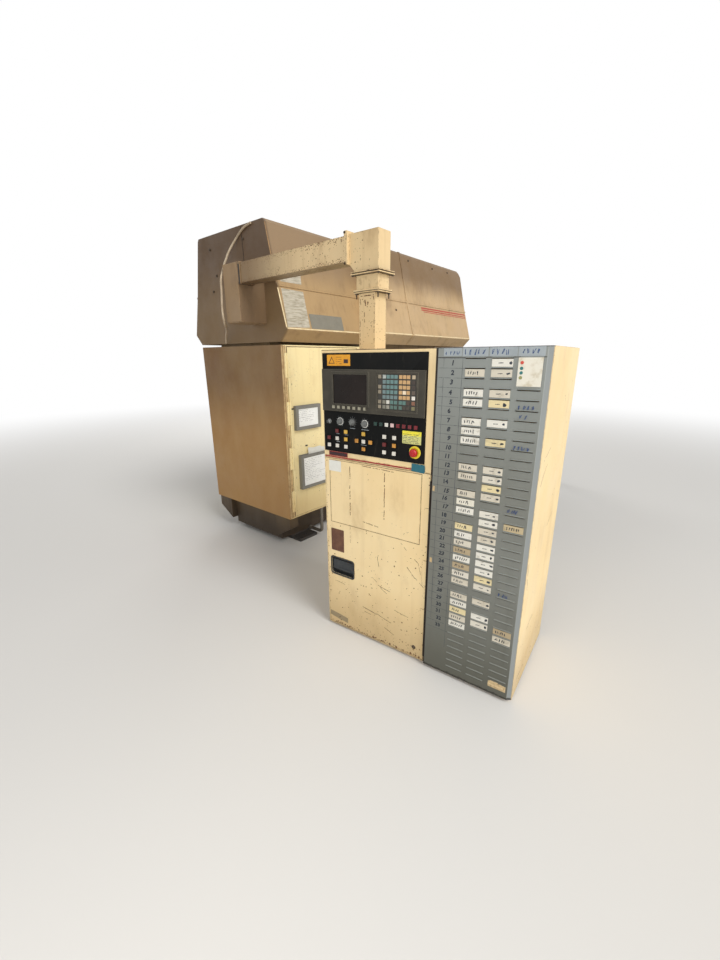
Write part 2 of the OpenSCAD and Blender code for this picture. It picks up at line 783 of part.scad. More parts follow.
module die_tools() {
    color(STEEL) placed() at_stations() translate([0, 0, lower_top - 25]) difference() {
        cylinder(r = tool_r($i) + 6, h = die_top - lower_top + 25, $fn = 24);
        translate([0, 0, -1]) cylinder(r = tool_r($i) * 0.6, h = die_top - lower_top + 27, $fn = 24);
    }
}

module ram_cylinder() {
    color(STEEL) placed() translate([punch_x, mid_y, throat_z1 + bridge_h]) difference() {
        union() {
            cylinder(r = cylinder_r, h = cylinder_h);
            cylinder(r = cylinder_r + 12, h = 25);
            translate([0, 0, cylinder_h - 40]) cylinder(r = cylinder_r + 10, h = 40);
            translate([-60, -cylinder_r - 30, cylinder_h - 180]) cube([120, 100, 110]);
        }
        translate([0, 0, -1]) cylinder(r = ram_r + run_gap, h = cylinder_h - 60);
    }
}

module ram() {
    color(STEEL) placed() translate([punch_x, mid_y, 0]) {
        translate([0, 0, ram_z0 + 30]) cylinder(r = ram_r, h = throat_z1 + bridge_h + 200 - ram_z0 - 30);
        translate([0, 0, ram_z0]) cylinder(r = ram_r - 12, h = 31);
        translate([0, 0, ram_z0 + 12]) cylinder(r = ram_r - 4, h = 12);
    }
}

// Motor with its gear case, standing on z and reaching up or down.
module gear_motor(z, dir) {
    translate([turret_x, mid_y, z]) mirror([0, 0, dir < 0 ? 1 : 0]) {
        cylinder(r = 120, h = 90);
        translate([0, 0, 89]) cylinder(r = 80, h = 40);
        translate([0, 0, 128]) cylinder(r = 95, h = 150);
        for (a = [0:30:330]) rotate([0, 0, a]) translate([93, -3, 135]) cube([12, 6, 130]);
    }
}

module turret_motors() {
    color(GREY) placed() {
        gear_motor(throat_z1 + bridge_h + seat_gap, 1);
        gear_motor(throat_z0 - bridge_h - seat_gap, -1);
    }
}

// Work table, cross beam and clamps

table_y0 = mid_y - table_hw;
table_y1 = mid_y + table_hw;
rail_gap = 6;
rail_top = table_z - 10;
shoe_gap = seat_gap;

module work_table() {
    color(STEEL) placed() difference() {
        union() {
            slab([table_x0, table_y0, table_z - table_t], [table_x1, table_y1, table_z]);
            // Frame under the plate
            for (y = [table_y0, table_y1 - leg_w, frame_y0 - 40 - leg_w, frame_y1 + 40])
                slab([table_x0, y, table_z - table_t - leg_w], [table_x1, y + leg_w,
                    table_z - table_t + EPS]);
            for (x = [table_x0, table_x1 - leg_w])
                for (side = [0, 1])
                    slab([x, side == 0 ? table_y0 : frame_y1 + 40, table_z - table_t - leg_w],
                        [x + leg_w, side == 0 ? frame_y0 - 40 : table_y1, table_z - table_t + EPS]);
            slab([table_x1 - leg_w, frame_y0 - 40 - EPS, table_z - table_t - leg_w],
                [table_x1, frame_y1 + 40 + EPS, table_z - table_t + EPS]);
            // Brackets bolted to the C frame's sides
            for (x = [table_x0 + 5, bridge_x1 + 50], m = [0, 1]) translate([0, mid_y, 0]) mirror([0, m, 0])
                slab([x, frame_w / 2, table_z - 240], [x + 60, frame_w / 2 + 60,
                    table_z - table_t - leg_w + 10]);
            // Legs
            for (x = [table_x0, (table_x0 + table_x1 - leg_w) / 2, table_x1 - leg_w], y = [table_y0,
                table_y1 - leg_w])
                slab([x, y, 0], [x + leg_w, y + leg_w, table_z - table_t + EPS]);
            // Guide rails outside both table edges
            for (m = [0, 1]) translate([0, mid_y, 0]) mirror([0, m, 0]) {
                slab([table_x0 + 100, table_hw + rail_gap, rail_top - rail_h], [table_x1,
                    table_hw + rail_gap + rail_w, rail_top]);
                slab([table_x0 + 100, table_hw - EPS, rail_top - rail_h], [table_x1,
                    table_hw + rail_gap + EPS, rail_top - 20]);
            }
            // Ball rollers that carry the sheet
            for (x = [2300:200:2900], y = [-5:1:5])
                translate([x, mid_y + y * 220, table_z - 9.2]) sphere(r = 10, $fn = 24);
        }
        translate([turret_x, mid_y, table_z - table_t - leg_w - 1]) cylinder(r = disc_r + 8,
            h = table_t + leg_w + 2, $fn = 128);
    }
}

beam_y0 = table_y0 - rail_gap - rail_w - 18;
beam_y1 = table_y1 + rail_gap + rail_w + 18;

module cross_beam() {
    color(CREAM) placed() {
        hollow_slab([beam_x, beam_y0, beam_z0], [beam_x + beam_w, beam_y1, beam_z0 + beam_h], beam_wall);
        // Guide rails for the carriage
        for (z = [beam_z0 + 30, beam_z0 + beam_h - 50])
            slab([beam_x - 22, beam_y0 + 30, z], [beam_x + EPS, beam_y1 - 30, z + 20]);
        // Shoes that ride on the table's guide rails
        for (m = [0, 1]) translate([0, mid_y, 0]) mirror([0, m, 0]) {
            slab([beam_x, table_hw + rail_gap - 2, rail_top + shoe_gap], [beam_x + beam_w, mid_y - beam_y0,
                beam_z0 + EPS]);
            slab([beam_x, table_hw + rail_gap + rail_w + shoe_gap, rail_top - rail_h],
                [beam_x + beam_w, mid_y - beam_y0, rail_top + shoe_gap + EPS]);
        }
    }
}

carriage_x0 = beam_x - seat_gap - carriage_t;
carriage_z0 = beam_z0 + 8;
carriage_z1 = beam_z0 + beam_h - 8;

module carriage() {
    color(GREY) placed() difference() {
        slab([carriage_x0, mid_y - carriage_l / 2, carriage_z0], [beam_x - seat_gap,
            mid_y + carriage_l / 2, carriage_z1]);
        for (z = [beam_z0 + 30, beam_z0 + beam_h - 50])
            slab([beam_x - 22 - seat_gap, -3000, z - seat_gap], [beam_x + 1, 4000, z + 20 + seat_gap]);
    }
}

jaw_z = table_z + 1.5;
jaw_t = 4.5;
pivot_x = carriage_x0 - 60;
pivot_z = 1000;
pivot_r = 8;
ear_t = 14;

module work_clamps() {
    color(STEEL) placed() for (s = [-1, 1]) translate([0, mid_y + s * clamp_y, 0]) difference() {
        union() {
            slab([carriage_x0 - clamp_l, -clamp_w / 2, jaw_z], [carriage_x0, clamp_w / 2, jaw_z + jaw_t]);
            slab([carriage_x0 - 30, -clamp_w / 2, jaw_z], [carriage_x0, clamp_w / 2, carriage_z1 - 20]);
            for (side = [-1, 1])
                slab([pivot_x - 20, side > 0 ? clamp_w / 2 - ear_t : -clamp_w / 2, jaw_z],
                    [carriage_x0 - 29, side > 0 ? clamp_w / 2 : -clamp_w / 2 + ear_t, pivot_z + 24]);
            translate([pivot_x, clamp_w / 2, pivot_z]) rotate([90, 0, 0]) cylinder(r = pivot_r, h = clamp_w);
        }
    }
}

// Upper jaw: a lever with its bore on the pivot pin and a hardened pad at the tip.
module clamp_jaw(s) {
    jw = clamp_w - 2 * ear_t - 2 * seat_gap;
    color(STEEL) placed() translate([0, mid_y + s * clamp_y - jw / 2, 0]) difference() {
        union() {
            plate_xz(0, jw) polygon([
                [carriage_x0 - clamp_l, jaw_z + jaw_t + sheet_max + 4], [carriage_x0 - clamp_l + 40,
                    jaw_z + jaw_t + sheet_max + 4],
                [pivot_x - 24, pivot_z - 22], [pivot_x + 16, pivot_z - 18], [pivot_x + 18, pivot_z + 14],
                [pivot_x - 10, pivot_z + 20], [carriage_x0 - clamp_l + 20,
                    pivot_z - 18], [carriage_x0 - clamp_l, pivot_z - 28]
            ]);
            slab([carriage_x0 - clamp_l + 2, 4, jaw_z + jaw_t + sheet_max],
                [carriage_x0 - clamp_l + 34, jw - 4, jaw_z + jaw_t + sheet_max + 5]);
        }
        translate([pivot_x, jw + 1, pivot_z]) rotate([90, 0, 0]) cylinder(r = pivot_r + run_gap, h = jw + 2);
    }
}

module clamp_jaw_1() { clamp_jaw(-1); }
module clamp_jaw_2() { clamp_jaw(1); }

// Console

con_door_x0 = 6;
con_door_x1 = cream_w - 6;
con_door_z0 = plinth_h + 8;
con_hinge_x = cream_w - 3;
con_hinge_y = -6;

module console_cabinet() {
    color(CREAM) difference() {
        console_shell();
        // Way for the cables into the riser duct
        placed() riser_slab(-duct_wall - 5, con_h - 10, con_h + 1);
    }
}

module console_shell() {
    on_console() {
        difference() {
            hollow_slab([0, 0, plinth_h], [con_w, con_d, con_h], sheet);
            // Doorway of the lower door
            slab([con_door_x0 - 1, -1, con_door_z0 - 3], [con_hinge_x + 0.5, sheet + 1, con_door_z1 + 3]);
            // Cut-out behind the operator panel
            slab([panel_x0 + 4, -1, panel_z0 + 8], [panel_x1 - 4, sheet + 1, panel_z1 - 8]);
            // Cut-out behind the louvred panel
            slab([cream_w + 20, -1, plinth_h + 30], [con_w - 20, sheet + 1, con_h - 20]);
        }
        // Plinth
        slab([plinth_in, plinth_in, 0], [con_w - plinth_in, con_d - plinth_in, plinth_h + 1]);
        // Trim line under the operator panel
        slab([con_door_x0, -3, con_door_z1 + 6], [panel_x1, 0.5, con_door_z1 + 16]);
        knuckles(con_hinge_x, con_hinge_y, con_door_z0 + 30, con_door_z1 - 30, 0, 7, 4, 2);
        leaves(con_hinge_x, cream_w + 3.5, -2.5, 0.5, con_door_z0 + 30, con_door_z1 - 30, 0);
        slab([con_hinge_x, con_hinge_y, con_door_z0 + 30 + seat_gap], [con_hinge_x + 2.5, 0.5,
            con_door_z0 + 40]);
        // Divider between the door's bay and the tool panel's bay
        slab([cream_w + 8, sheet - 0.5, plinth_h + 1], [cream_w + 8 + sheet, con_d - sheet + 0.5, con_h - 1]);
    }
}

latch_cx = latch_x + latch_w / 2;

module console_door() {
    color(CREAM) on_console() difference() {
        union() {
            slab([con_door_x0, 0, con_door_z0], [con_door_x1, door_t, con_door_z1]);
            plate_xz(-3, 4) translate([latch_x, latch_z]) rounded(latch_w, latch_h, 18);
            plate_xz(0, latch_d + 3) translate([latch_x + 4, latch_z + 4]) rounded(latch_w - 8,
                latch_h - 8, 15);
            knuckles(con_hinge_x, con_hinge_y, con_door_z0 + 30, con_door_z1 - 30, 1, 7, 4, 2);
            difference() {
                leaves(con_door_x1 - 24, con_hinge_x, -2.5, 0.5, con_door_z0 + 30, con_door_z1 - 30, 1);
                translate([con_hinge_x, con_hinge_y, con_door_z0]) cylinder(r = 2 + run_gap,
                    h = con_door_z1 - con_door_z0);
            }
        }
        // Hollow back of the folded sheet, left solid around the latch cup
        difference() {
            slab([con_door_x0 + sheet, sheet, con_door_z0 + sheet], [con_door_x1 - sheet, door_t + 1,
                con_door_z1 - sheet]);
            slab([latch_x + 1, 0, latch_z + 1], [latch_x + latch_w - 1, door_t + 2, latch_z + latch_h - 1]);
        }
        // Latch cup
        plate_xz(-4, latch_d + 4) translate([latch_x + 9, latch_z + 9]) rounded(latch_w - 18, latch_h - 18,
            11);
        // Bore of the latch's hinge pin
        translate([latch_x + 6, 6, latch_z + latch_h - 22]) rotate([0, 90, 0]) cylinder(r = 3 + run_gap,
            h = latch_w - 12);
        // Outline of the upper hatch
        difference() {
            slab([32, -1, 659], [568, 1, con_door_z1 - 6]);
            slab([34.5, -2, 661.5], [565.5, 2, con_door_z1 - 8.5]);
        }
    }
}

module door_latch() {
    color(DARK) on_console() {
        slab([latch_x + 14, 3, latch_z + 34], [latch_x + latch_w - 14, 8, latch_z + latch_h - 21]);
        translate([latch_x + 7, 6, latch_z + latch_h - 22]) rotate([0, 90, 0]) cylinder(r = 3,
            h = latch_w - 14);
        slab([latch_x + 30, 1.5, latch_z + 34], [latch_x + latch_w - 30, 8, latch_z + 46]);
    }
}

// Operator panel and what stands in it

module at_panel(p) {
    translate([p[0], 0, p[1]]) rotate([90, 0, 0]) children();
}

module operator_panel() {
    color(DARK) on_console() difference() {
        union() {
            slab([panel_x0, -panel_t, panel_z0], [panel_x1, 0, panel_z1]);
            // Square bezels around the push buttons
            for (p = BUTTONS) translate([p[0] - button_w / 2 - bezel_w, -panel_t - 3,
                p[1] - button_w / 2 - bezel_w])
                cube([button_w + 2 * bezel_w, 4, button_w + 2 * bezel_w]);
            // Dial rings under the rotary knobs
            for (p = KNOBS) at_panel(p) cylinder(r = knob_r + 5, h = panel_t + 1.5);
            at_panel(KEY_AT) cylinder(r = 12, h = panel_t + 3);
            // Yellow ring of the emergency stop
            at_panel(STOP_AT) cylinder(r = 29, h = panel_t + 2);
            at_panel(STOP_AT) cylinder(r = 22, h = panel_t + 6);
        }
        for (p = BUTTONS) translate([p[0] - button_w / 2 - seat_gap, -panel_t - 4,
            p[1] - button_w / 2 - seat_gap])
            cube([button_w + 2 * seat_gap, panel_t + 5, button_w + 2 * seat_gap]);
        for (p = KNOBS) at_panel(p) translate([0, 0, -1]) cylinder(r = 4 + run_gap, h = panel_t + 4);
        at_panel(KEY_AT) translate([0, 0, -1]) cylinder(r = 7 + run_gap, h = panel_t + 6);
        at_panel(STOP_AT) translate([0, 0, -1]) cylinder(r = 9 + run_gap, h = panel_t + 9);
        for (i = [0:LAMPS - 1]) translate([LAMP_X0 + i * LAMP_DX - 9, -panel_t - 1, LAMP_Z - 9]) cube([18,
            panel_t + 2, 18]);
    }
}

module push_button(p) {
    top = panel_t + 3 + button_out;
    on_console() {
        translate([p[0] - button_w / 2, -top, p[1] - button_w / 2]) cube([button_w, top + 4, button_w]);
        // Collar that stops the cap behind the panel
        translate([p[0] - button_w / 2 - 2, seat_gap, p[1] - button_w / 2 - 2]) cube([button_w + 4, 3,
            button_w + 4]);
    }
}

module knob(p) {
    color(GREY) on_console() at_panel(p) {
        translate([0, 0, -8]) cylinder(r = 4, h = 10 + panel_t);
        translate([0, 0, panel_t + 1.5 + seat_gap]) cylinder(r = knob_r, h = 7);
        translate([0, 0, panel_t + 8]) cylinder(r1 = knob_r - 2, r2 = knob_r - 4, h = 9, $fn = 24);
        translate([-2, -knob_r + 1, panel_t + 8]) cube([4, 2 * knob_r - 2, 12]);
    }
}

module knob_1() { knob(KNOBS[0]); }
module knob_2() { knob(KNOBS[1]); }
module knob_3() { knob(KNOBS[2]); }

module key_switch() {
    color(STEEL) on_console() at_panel(KEY_AT) {
        translate([0, 0, -8]) cylinder(r = 7, h = 14 + panel_t);
        translate([-1.2, -8, panel_t + 5]) cube([2.4, 16, 16]);
    }
}

module stop_button() {
    color([0.8, 0.05, 0.05]) on_console() at_panel(STOP_AT) {
        translate([0, 0, -10]) cylinder(r = 9, h = 18 + panel_t + stop_travel);
        translate([0, 0, panel_t + 6 + stop_travel + seat_gap]) cylinder(r = stop_r, h = 6);
        translate([0, 0, panel_t + 12 + stop_travel]) rotate_extrude() polygon(concat(
            [[0, 0]], arc(stop_r - 7, 0, 7, 0, 90, 6), [[0, 9]]));
        translate([0, 0, -10]) cylinder(r = 13, h = 10 - seat_gap);
    }
}

module indicator_lamps() {
    color([0.7, 0.25, 0.2]) on_console() for (i = [0:LAMPS - 1])
        translate([LAMP_X0 + i * LAMP_DX - 9 + seat_gap, -panel_t - 3, LAMP_Z - 9 + seat_gap])
            cube([18 - 2 * seat_gap, panel_t + 12, 18 - 2 * seat_gap]);
}

keys_x0 = KEY_COLUMNS[0] - key_w / 2 - 4;
keys_x1 = KEY_COLUMNS[8] + key_w / 2 + 4;
keys_z0 = KEY_Z0 - key_w / 2 - 4;
keys_z1 = KEY_Z0 + (KEY_ROWS - 1) * key_pitch + key_w / 2 + 4;

module display_unit() {
    color(DARK) on_console() difference() {
        union() {
            slab([panel_x0 + 1, -panel_t - disp_t, disp_z0], [panel_x1 - 4, -panel_t, disp_z1]);
            // Raised frame around the screen
            slab([SCREEN_X0 - 12, -panel_t - disp_t - 4, SCREEN_Z0 - 8],
                [SCREEN_X0 + screen_w + 12, -panel_t - disp_t + 1, SCREEN_Z0 + screen_h + 13]);
            // Keys under the screen
            for (i = [0:6]) slab([SCREEN_X0 - 8 + i * 31, -panel_t - disp_t - 4, disp_z0 + 14],
                [SCREEN_X0 + 8 + i * 31, -panel_t - disp_t + 1, disp_z0 + 28]);
            // Frame around the key sheet
            slab([keys_x0 - 8, -panel_t - disp_t - 3, keys_z0 - 8], [keys_x1 + 8, -panel_t - disp_t + 1,
                keys_z1 + 8]);
        }
        slab([SCREEN_X0, -panel_t - disp_t - 5, SCREEN_Z0], [SCREEN_X0 + screen_w, -panel_t - 2,
            SCREEN_Z0 + screen_h]);
        slab([keys_x0, -panel_t - disp_t - 4, keys_z0], [keys_x1, -panel_t - disp_t + 3, keys_z1]);
    }
}

module display_screen() {
    color([0.05, 0.05, 0.06]) on_console()
        slab([SCREEN_X0 + seat_gap, -panel_t - disp_t + 1, SCREEN_Z0 + seat_gap],
            [SCREEN_X0 + screen_w - seat_gap, -panel_t - 2 - seat_gap, SCREEN_Z0 + screen_h - seat_gap]);
}

// Key sheet: a plate with a grid of raised keys, and a column apart on each side.
module key_sheet() {
    base = -panel_t - disp_t + 3 - seat_gap;
    color(GREY) on_console() {
        slab([keys_x0 + seat_gap, base - 2, keys_z0 + seat_gap], [keys_x1 - seat_gap, base,
            keys_z1 - seat_gap]);
        for (c = [0:8], r = [0:KEY_ROWS - 1]) if (!(c == 0 && (r == 2 || r == 5)))
            translate([KEY_COLUMNS[c] - key_w / 2, base - 5, KEY_Z0 + r * key_pitch - key_w / 2])
                cube([key_w, 3.5, key_w]);
    }
}

// Louvred panel and its label strips

louvre_x0 = cream_w + 4;
louvre_x1 = con_w - 2;
louvre_col0 = louvre_x0 + 120;
louvre_z0 = plinth_h + 2;
louvre_z1 = con_h - 1;

// Rows that fit on the panel
rows_fit = min(louvre_rows, floor((con_h - louvre_drop - louvre_z0 - 20) / louvre_pitch) + 1);

function row_z(i) = con_h - louvre_drop - i * louvre_pitch;

// Cross-section of the tray, seen from above: flat front, slanted right edge, folded returns.
module louvre_section() {
    polygon([
        [louvre_x0, 0], [louvre_x0, -louvre_out], [louvre_x1 - louvre_edge, -louvre_out], [louvre_x1,
            -2], [louvre_x1, 0],
        [louvre_x1 - 4, 0], [louvre_x1 - louvre_edge - 1, -louvre_out + 2], [louvre_x0 + 2,
            -louvre_out + 2], [louvre_x0 + 2, 0]
    ]);
}

module louvre_panel() {
    color(GREY) on_console() difference() {
        union() {
            translate([0, 0, louvre_z0]) linear_extrude(louvre_z1 - louvre_z0) louvre_section();
            slab([louvre_x0, -louvre_out + 1, louvre_z1 - 2], [louvre_x1 - louvre_edge, 0, louvre_z1]);
            slab([louvre_x0, -louvre_out + 1, louvre_z0], [louvre_x1 - louvre_edge, 0, louvre_z0 + 2]);
            // Lip pressed out over each slot
            for (c = [0:2], i = [0:rows_fit - 1])
                translate([louvre_col0 + c * louvre_dx, 0, row_z(i)]) rotate([90, 0,
                    90]) linear_extrude(louvre_len)
                    polygon([[-louvre_out + 0.5, louvre_slot + 4], [-louvre_out - louvre_lip, louvre_slot],
                        [-louvre_out - louvre_lip, louvre_slot - 1.2], [-louvre_out + 0.5, louvre_slot]]);
        }
        for (c = [0:2], i = [0:rows_fit - 1])
            slab([louvre_col0 + c * louvre_dx, -louvre_out - 1, row_z(i)],
                [louvre_col0 + c * louvre_dx + louvre_len, -louvre_out + 3, row_z(i) + louvre_slot]);
    }
}

module tool_labels() {
    color([0.85, 0.84, 0.78]) on_console() {
        for (c = [0:2]) for (row = LABEL_ROWS[c]) if (row < rows_fit)
            translate([louvre_col0 + c * louvre_dx + 1, -louvre_out - 1.2, row_z(row) + louvre_slot + 4.5])
                cube([louvre_len - 2, 1.2, louvre_pitch - louvre_slot - 5]);
        // Colour card at the head of the third column
        translate([louvre_col0 + 2 * louvre_dx - 5, -louvre_out - louvre_lip - 1.2, row_z(3) + 16])
            cube([louvre_len + 5, 1.2, 3 * louvre_pitch - 12]);
    }
}

module button_1() { color("red") push_button(BUTTONS[0]); }
module button_2() { color("gold") push_button(BUTTONS[1]); }
module button_3() { color("maroon") push_button(BUTTONS[2]); }
module button_4() { color("white") push_button(BUTTONS[3]); }
module button_5() { color("gold") push_button(BUTTONS[4]); }
module button_6() { color("white") push_button(BUTTONS[5]); }
module button_7() { color("white") push_button(BUTTONS[6]); }
module button_8() { color("white") push_button(BUTTONS[7]); }
module button_9() { color("gold") push_button(BUTTONS[8]); }
module button_10() { color("gold") push_button(BUTTONS[9]); }
module button_11() { color("white") push_button(BUTTONS[10]); }
module button_12() { color("gold") push_button(BUTTONS[11]); }
module button_13() { color("gold") push_button(BUTTONS[12]); }
module button_14() { color("white") push_button(BUTTONS[13]); }
module button_15() { color("white") push_button(BUTTONS[14]); }
module button_16() { color("maroon") push_button(BUTTONS[15]); }
module button_17() { color("gold") push_button(BUTTONS[16]); }
module button_18() { color("white") push_button(BUTTONS[17]); }
module button_19() { color("white") push_button(BUTTONS[18]); }

c_frame();
levelling_feet();
rear_hood();
head_hood();
rear_cabinet();
cabinet_door();
document_boxes();
junction_box();
cable_arm();
duct_elbow();
duct_collar();
riser_duct();
air_pipe();
upper_turret();
lower_turret();
punch_tools();
die_tools();
ram_cylinder();
ram();
turret_motors();
work_table();
cross_beam();
carriage();
work_clamps();
clamp_jaw_1();
clamp_jaw_2();
console_cabinet();
console_door();
door_latch();
operator_panel();
display_unit();
display_screen();
key_sheet();
indicator_lamps();
louvre_panel();
tool_labels();
stop_button();
key_switch();
knob_1();
knob_2();
knob_3();
button_1();
button_2();
button_3();
button_4();
button_5();
button_6();
button_7();
button_8();
button_9();
button_10();
button_11();
button_12();
button_13();
button_14();
button_15();
button_16();
button_17();
button_18();
button_19();
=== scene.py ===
"""Looks for the turret punch press: paint, metal, small trim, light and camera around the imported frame."""
import math
import random

import bmesh
import bpy
from mathutils import Matrix, Vector


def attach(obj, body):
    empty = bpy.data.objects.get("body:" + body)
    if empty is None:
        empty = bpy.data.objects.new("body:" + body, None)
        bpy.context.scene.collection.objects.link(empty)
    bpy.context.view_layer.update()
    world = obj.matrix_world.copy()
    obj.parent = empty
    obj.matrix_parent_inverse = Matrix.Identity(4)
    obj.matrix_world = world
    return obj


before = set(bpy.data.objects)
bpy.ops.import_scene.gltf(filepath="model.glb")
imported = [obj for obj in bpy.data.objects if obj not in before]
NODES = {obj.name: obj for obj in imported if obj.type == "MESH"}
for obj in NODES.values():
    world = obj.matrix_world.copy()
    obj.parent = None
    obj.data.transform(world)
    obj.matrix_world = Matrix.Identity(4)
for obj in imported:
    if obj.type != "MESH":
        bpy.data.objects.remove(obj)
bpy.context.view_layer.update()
scene = bpy.context.scene


def added(name, data):
    """A new object in the scene."""
    obj = bpy.data.objects.new(name, data)
    scene.collection.objects.link(obj)
    return obj


# ---------------------------------------------------------------- camera, fitted to the photo's straight edges
F_PX, PITCH, ROLL, HEADING = 407.631, 0.291050, -0.005855, 0.692643  # pixels, then radians
PICTURE_HIGH, SENSOR = 960.0, 36.0  # pixels and millimetres along the picture's longer side
EYE = Vector((-3.241375, -2.868169, 1.513835))
right = Vector((math.sin(HEADING), -math.cos(HEADING), 0))
ahead = Vector((math.cos(HEADING) * math.cos(PITCH), math.sin(HEADING) * math.cos(PITCH), -math.sin(PITCH)))
above = right.cross(ahead)
rolled_right = math.cos(ROLL) * right + math.sin(ROLL) * above
rolled_up = -math.sin(ROLL) * right + math.cos(ROLL) * above
camera = added("camera", bpy.data.cameras.new("camera"))
camera.matrix_world = Matrix.Translation(EYE) @ Matrix((rolled_right, rolled_up, -ahead)).transposed().to_4x4()
camera.data.sensor_width = SENSOR
camera.data.lens = SENSOR * F_PX / PICTURE_HIGH
camera.data.clip_end = 200.0
scene.camera = camera
scene.view_settings.view_transform = "Standard"


# ---------------------------------------------------------------- places, in millimetres
def press(x, y, z):
    """A point in the press's own millimetres (rear cabinet's near corner on the floor) as row metres."""
    return Vector(((x - 1270) / 1000, (y - 510) / 1000, z / 1000))


CONSOLE = Matrix.Translation((-1.746, -1.387, 0)) @ Matrix.Rotation(math.radians(4.8 - 90), 4, "Z")


def console(s, d, z):
    """A point on the console: s across the front, d into it, z up."""
    return CONSOLE @ Vector((s / 1000, d / 1000, z / 1000))


def around(a, b, r, t):
    """The point at angle t on a circle around (a, b)."""
    return a + r * math.cos(t), b + r * math.sin(t)


def face(origin, u, v):
    """A place function for a flat face: a along u, out of the face by -d, b along v."""
    u, v = Vector(u).normalized(), Vector(v).normalized()
    n = u.cross(v)
    return lambda a, d, b: Vector(origin) + (u * a + v * b - n * d) / 1000


def hood_face(x0, low, high):
    """The near side of a hood between two lines given as (y, z): a along X from x0, b up the sheet."""
    return face(press(x0, *low), (1, 0, 0), (0, high[0] - low[0], high[1] - low[1]))


REAR_LOW = hood_face(0, (-73, 1716), (6, 2000))
REAR_HIGH = hood_face(0, (6, 2000), (95, 2390))
HEAD_LOW = hood_face(0, (-223, 1716), (-144, 2000))
HEAD_HIGH = hood_face(0, (-144, 2000), (-55, 2390))
END = face(press(0, 0, 0), (0, -1, 0), (0, 0, 1))
SIDE = face(press(0, 0, 0), (1, 0, 0), (0, 0, 1))


# ---------------------------------------------------------------- materials
def lin(c):
    """sRGB 0-255 to a linear colour."""
    parts = [v / 255 for v in c]
    return tuple(v / 12.92 if v <= 0.04045 else ((v + 0.055) / 1.055) ** 2.4 for v in parts) + (1.0,)


def new_node(tree, kind, **settings):
    node = tree.nodes.new(kind)
    for k, v in settings.items():
        setattr(node, k, v)
    return node


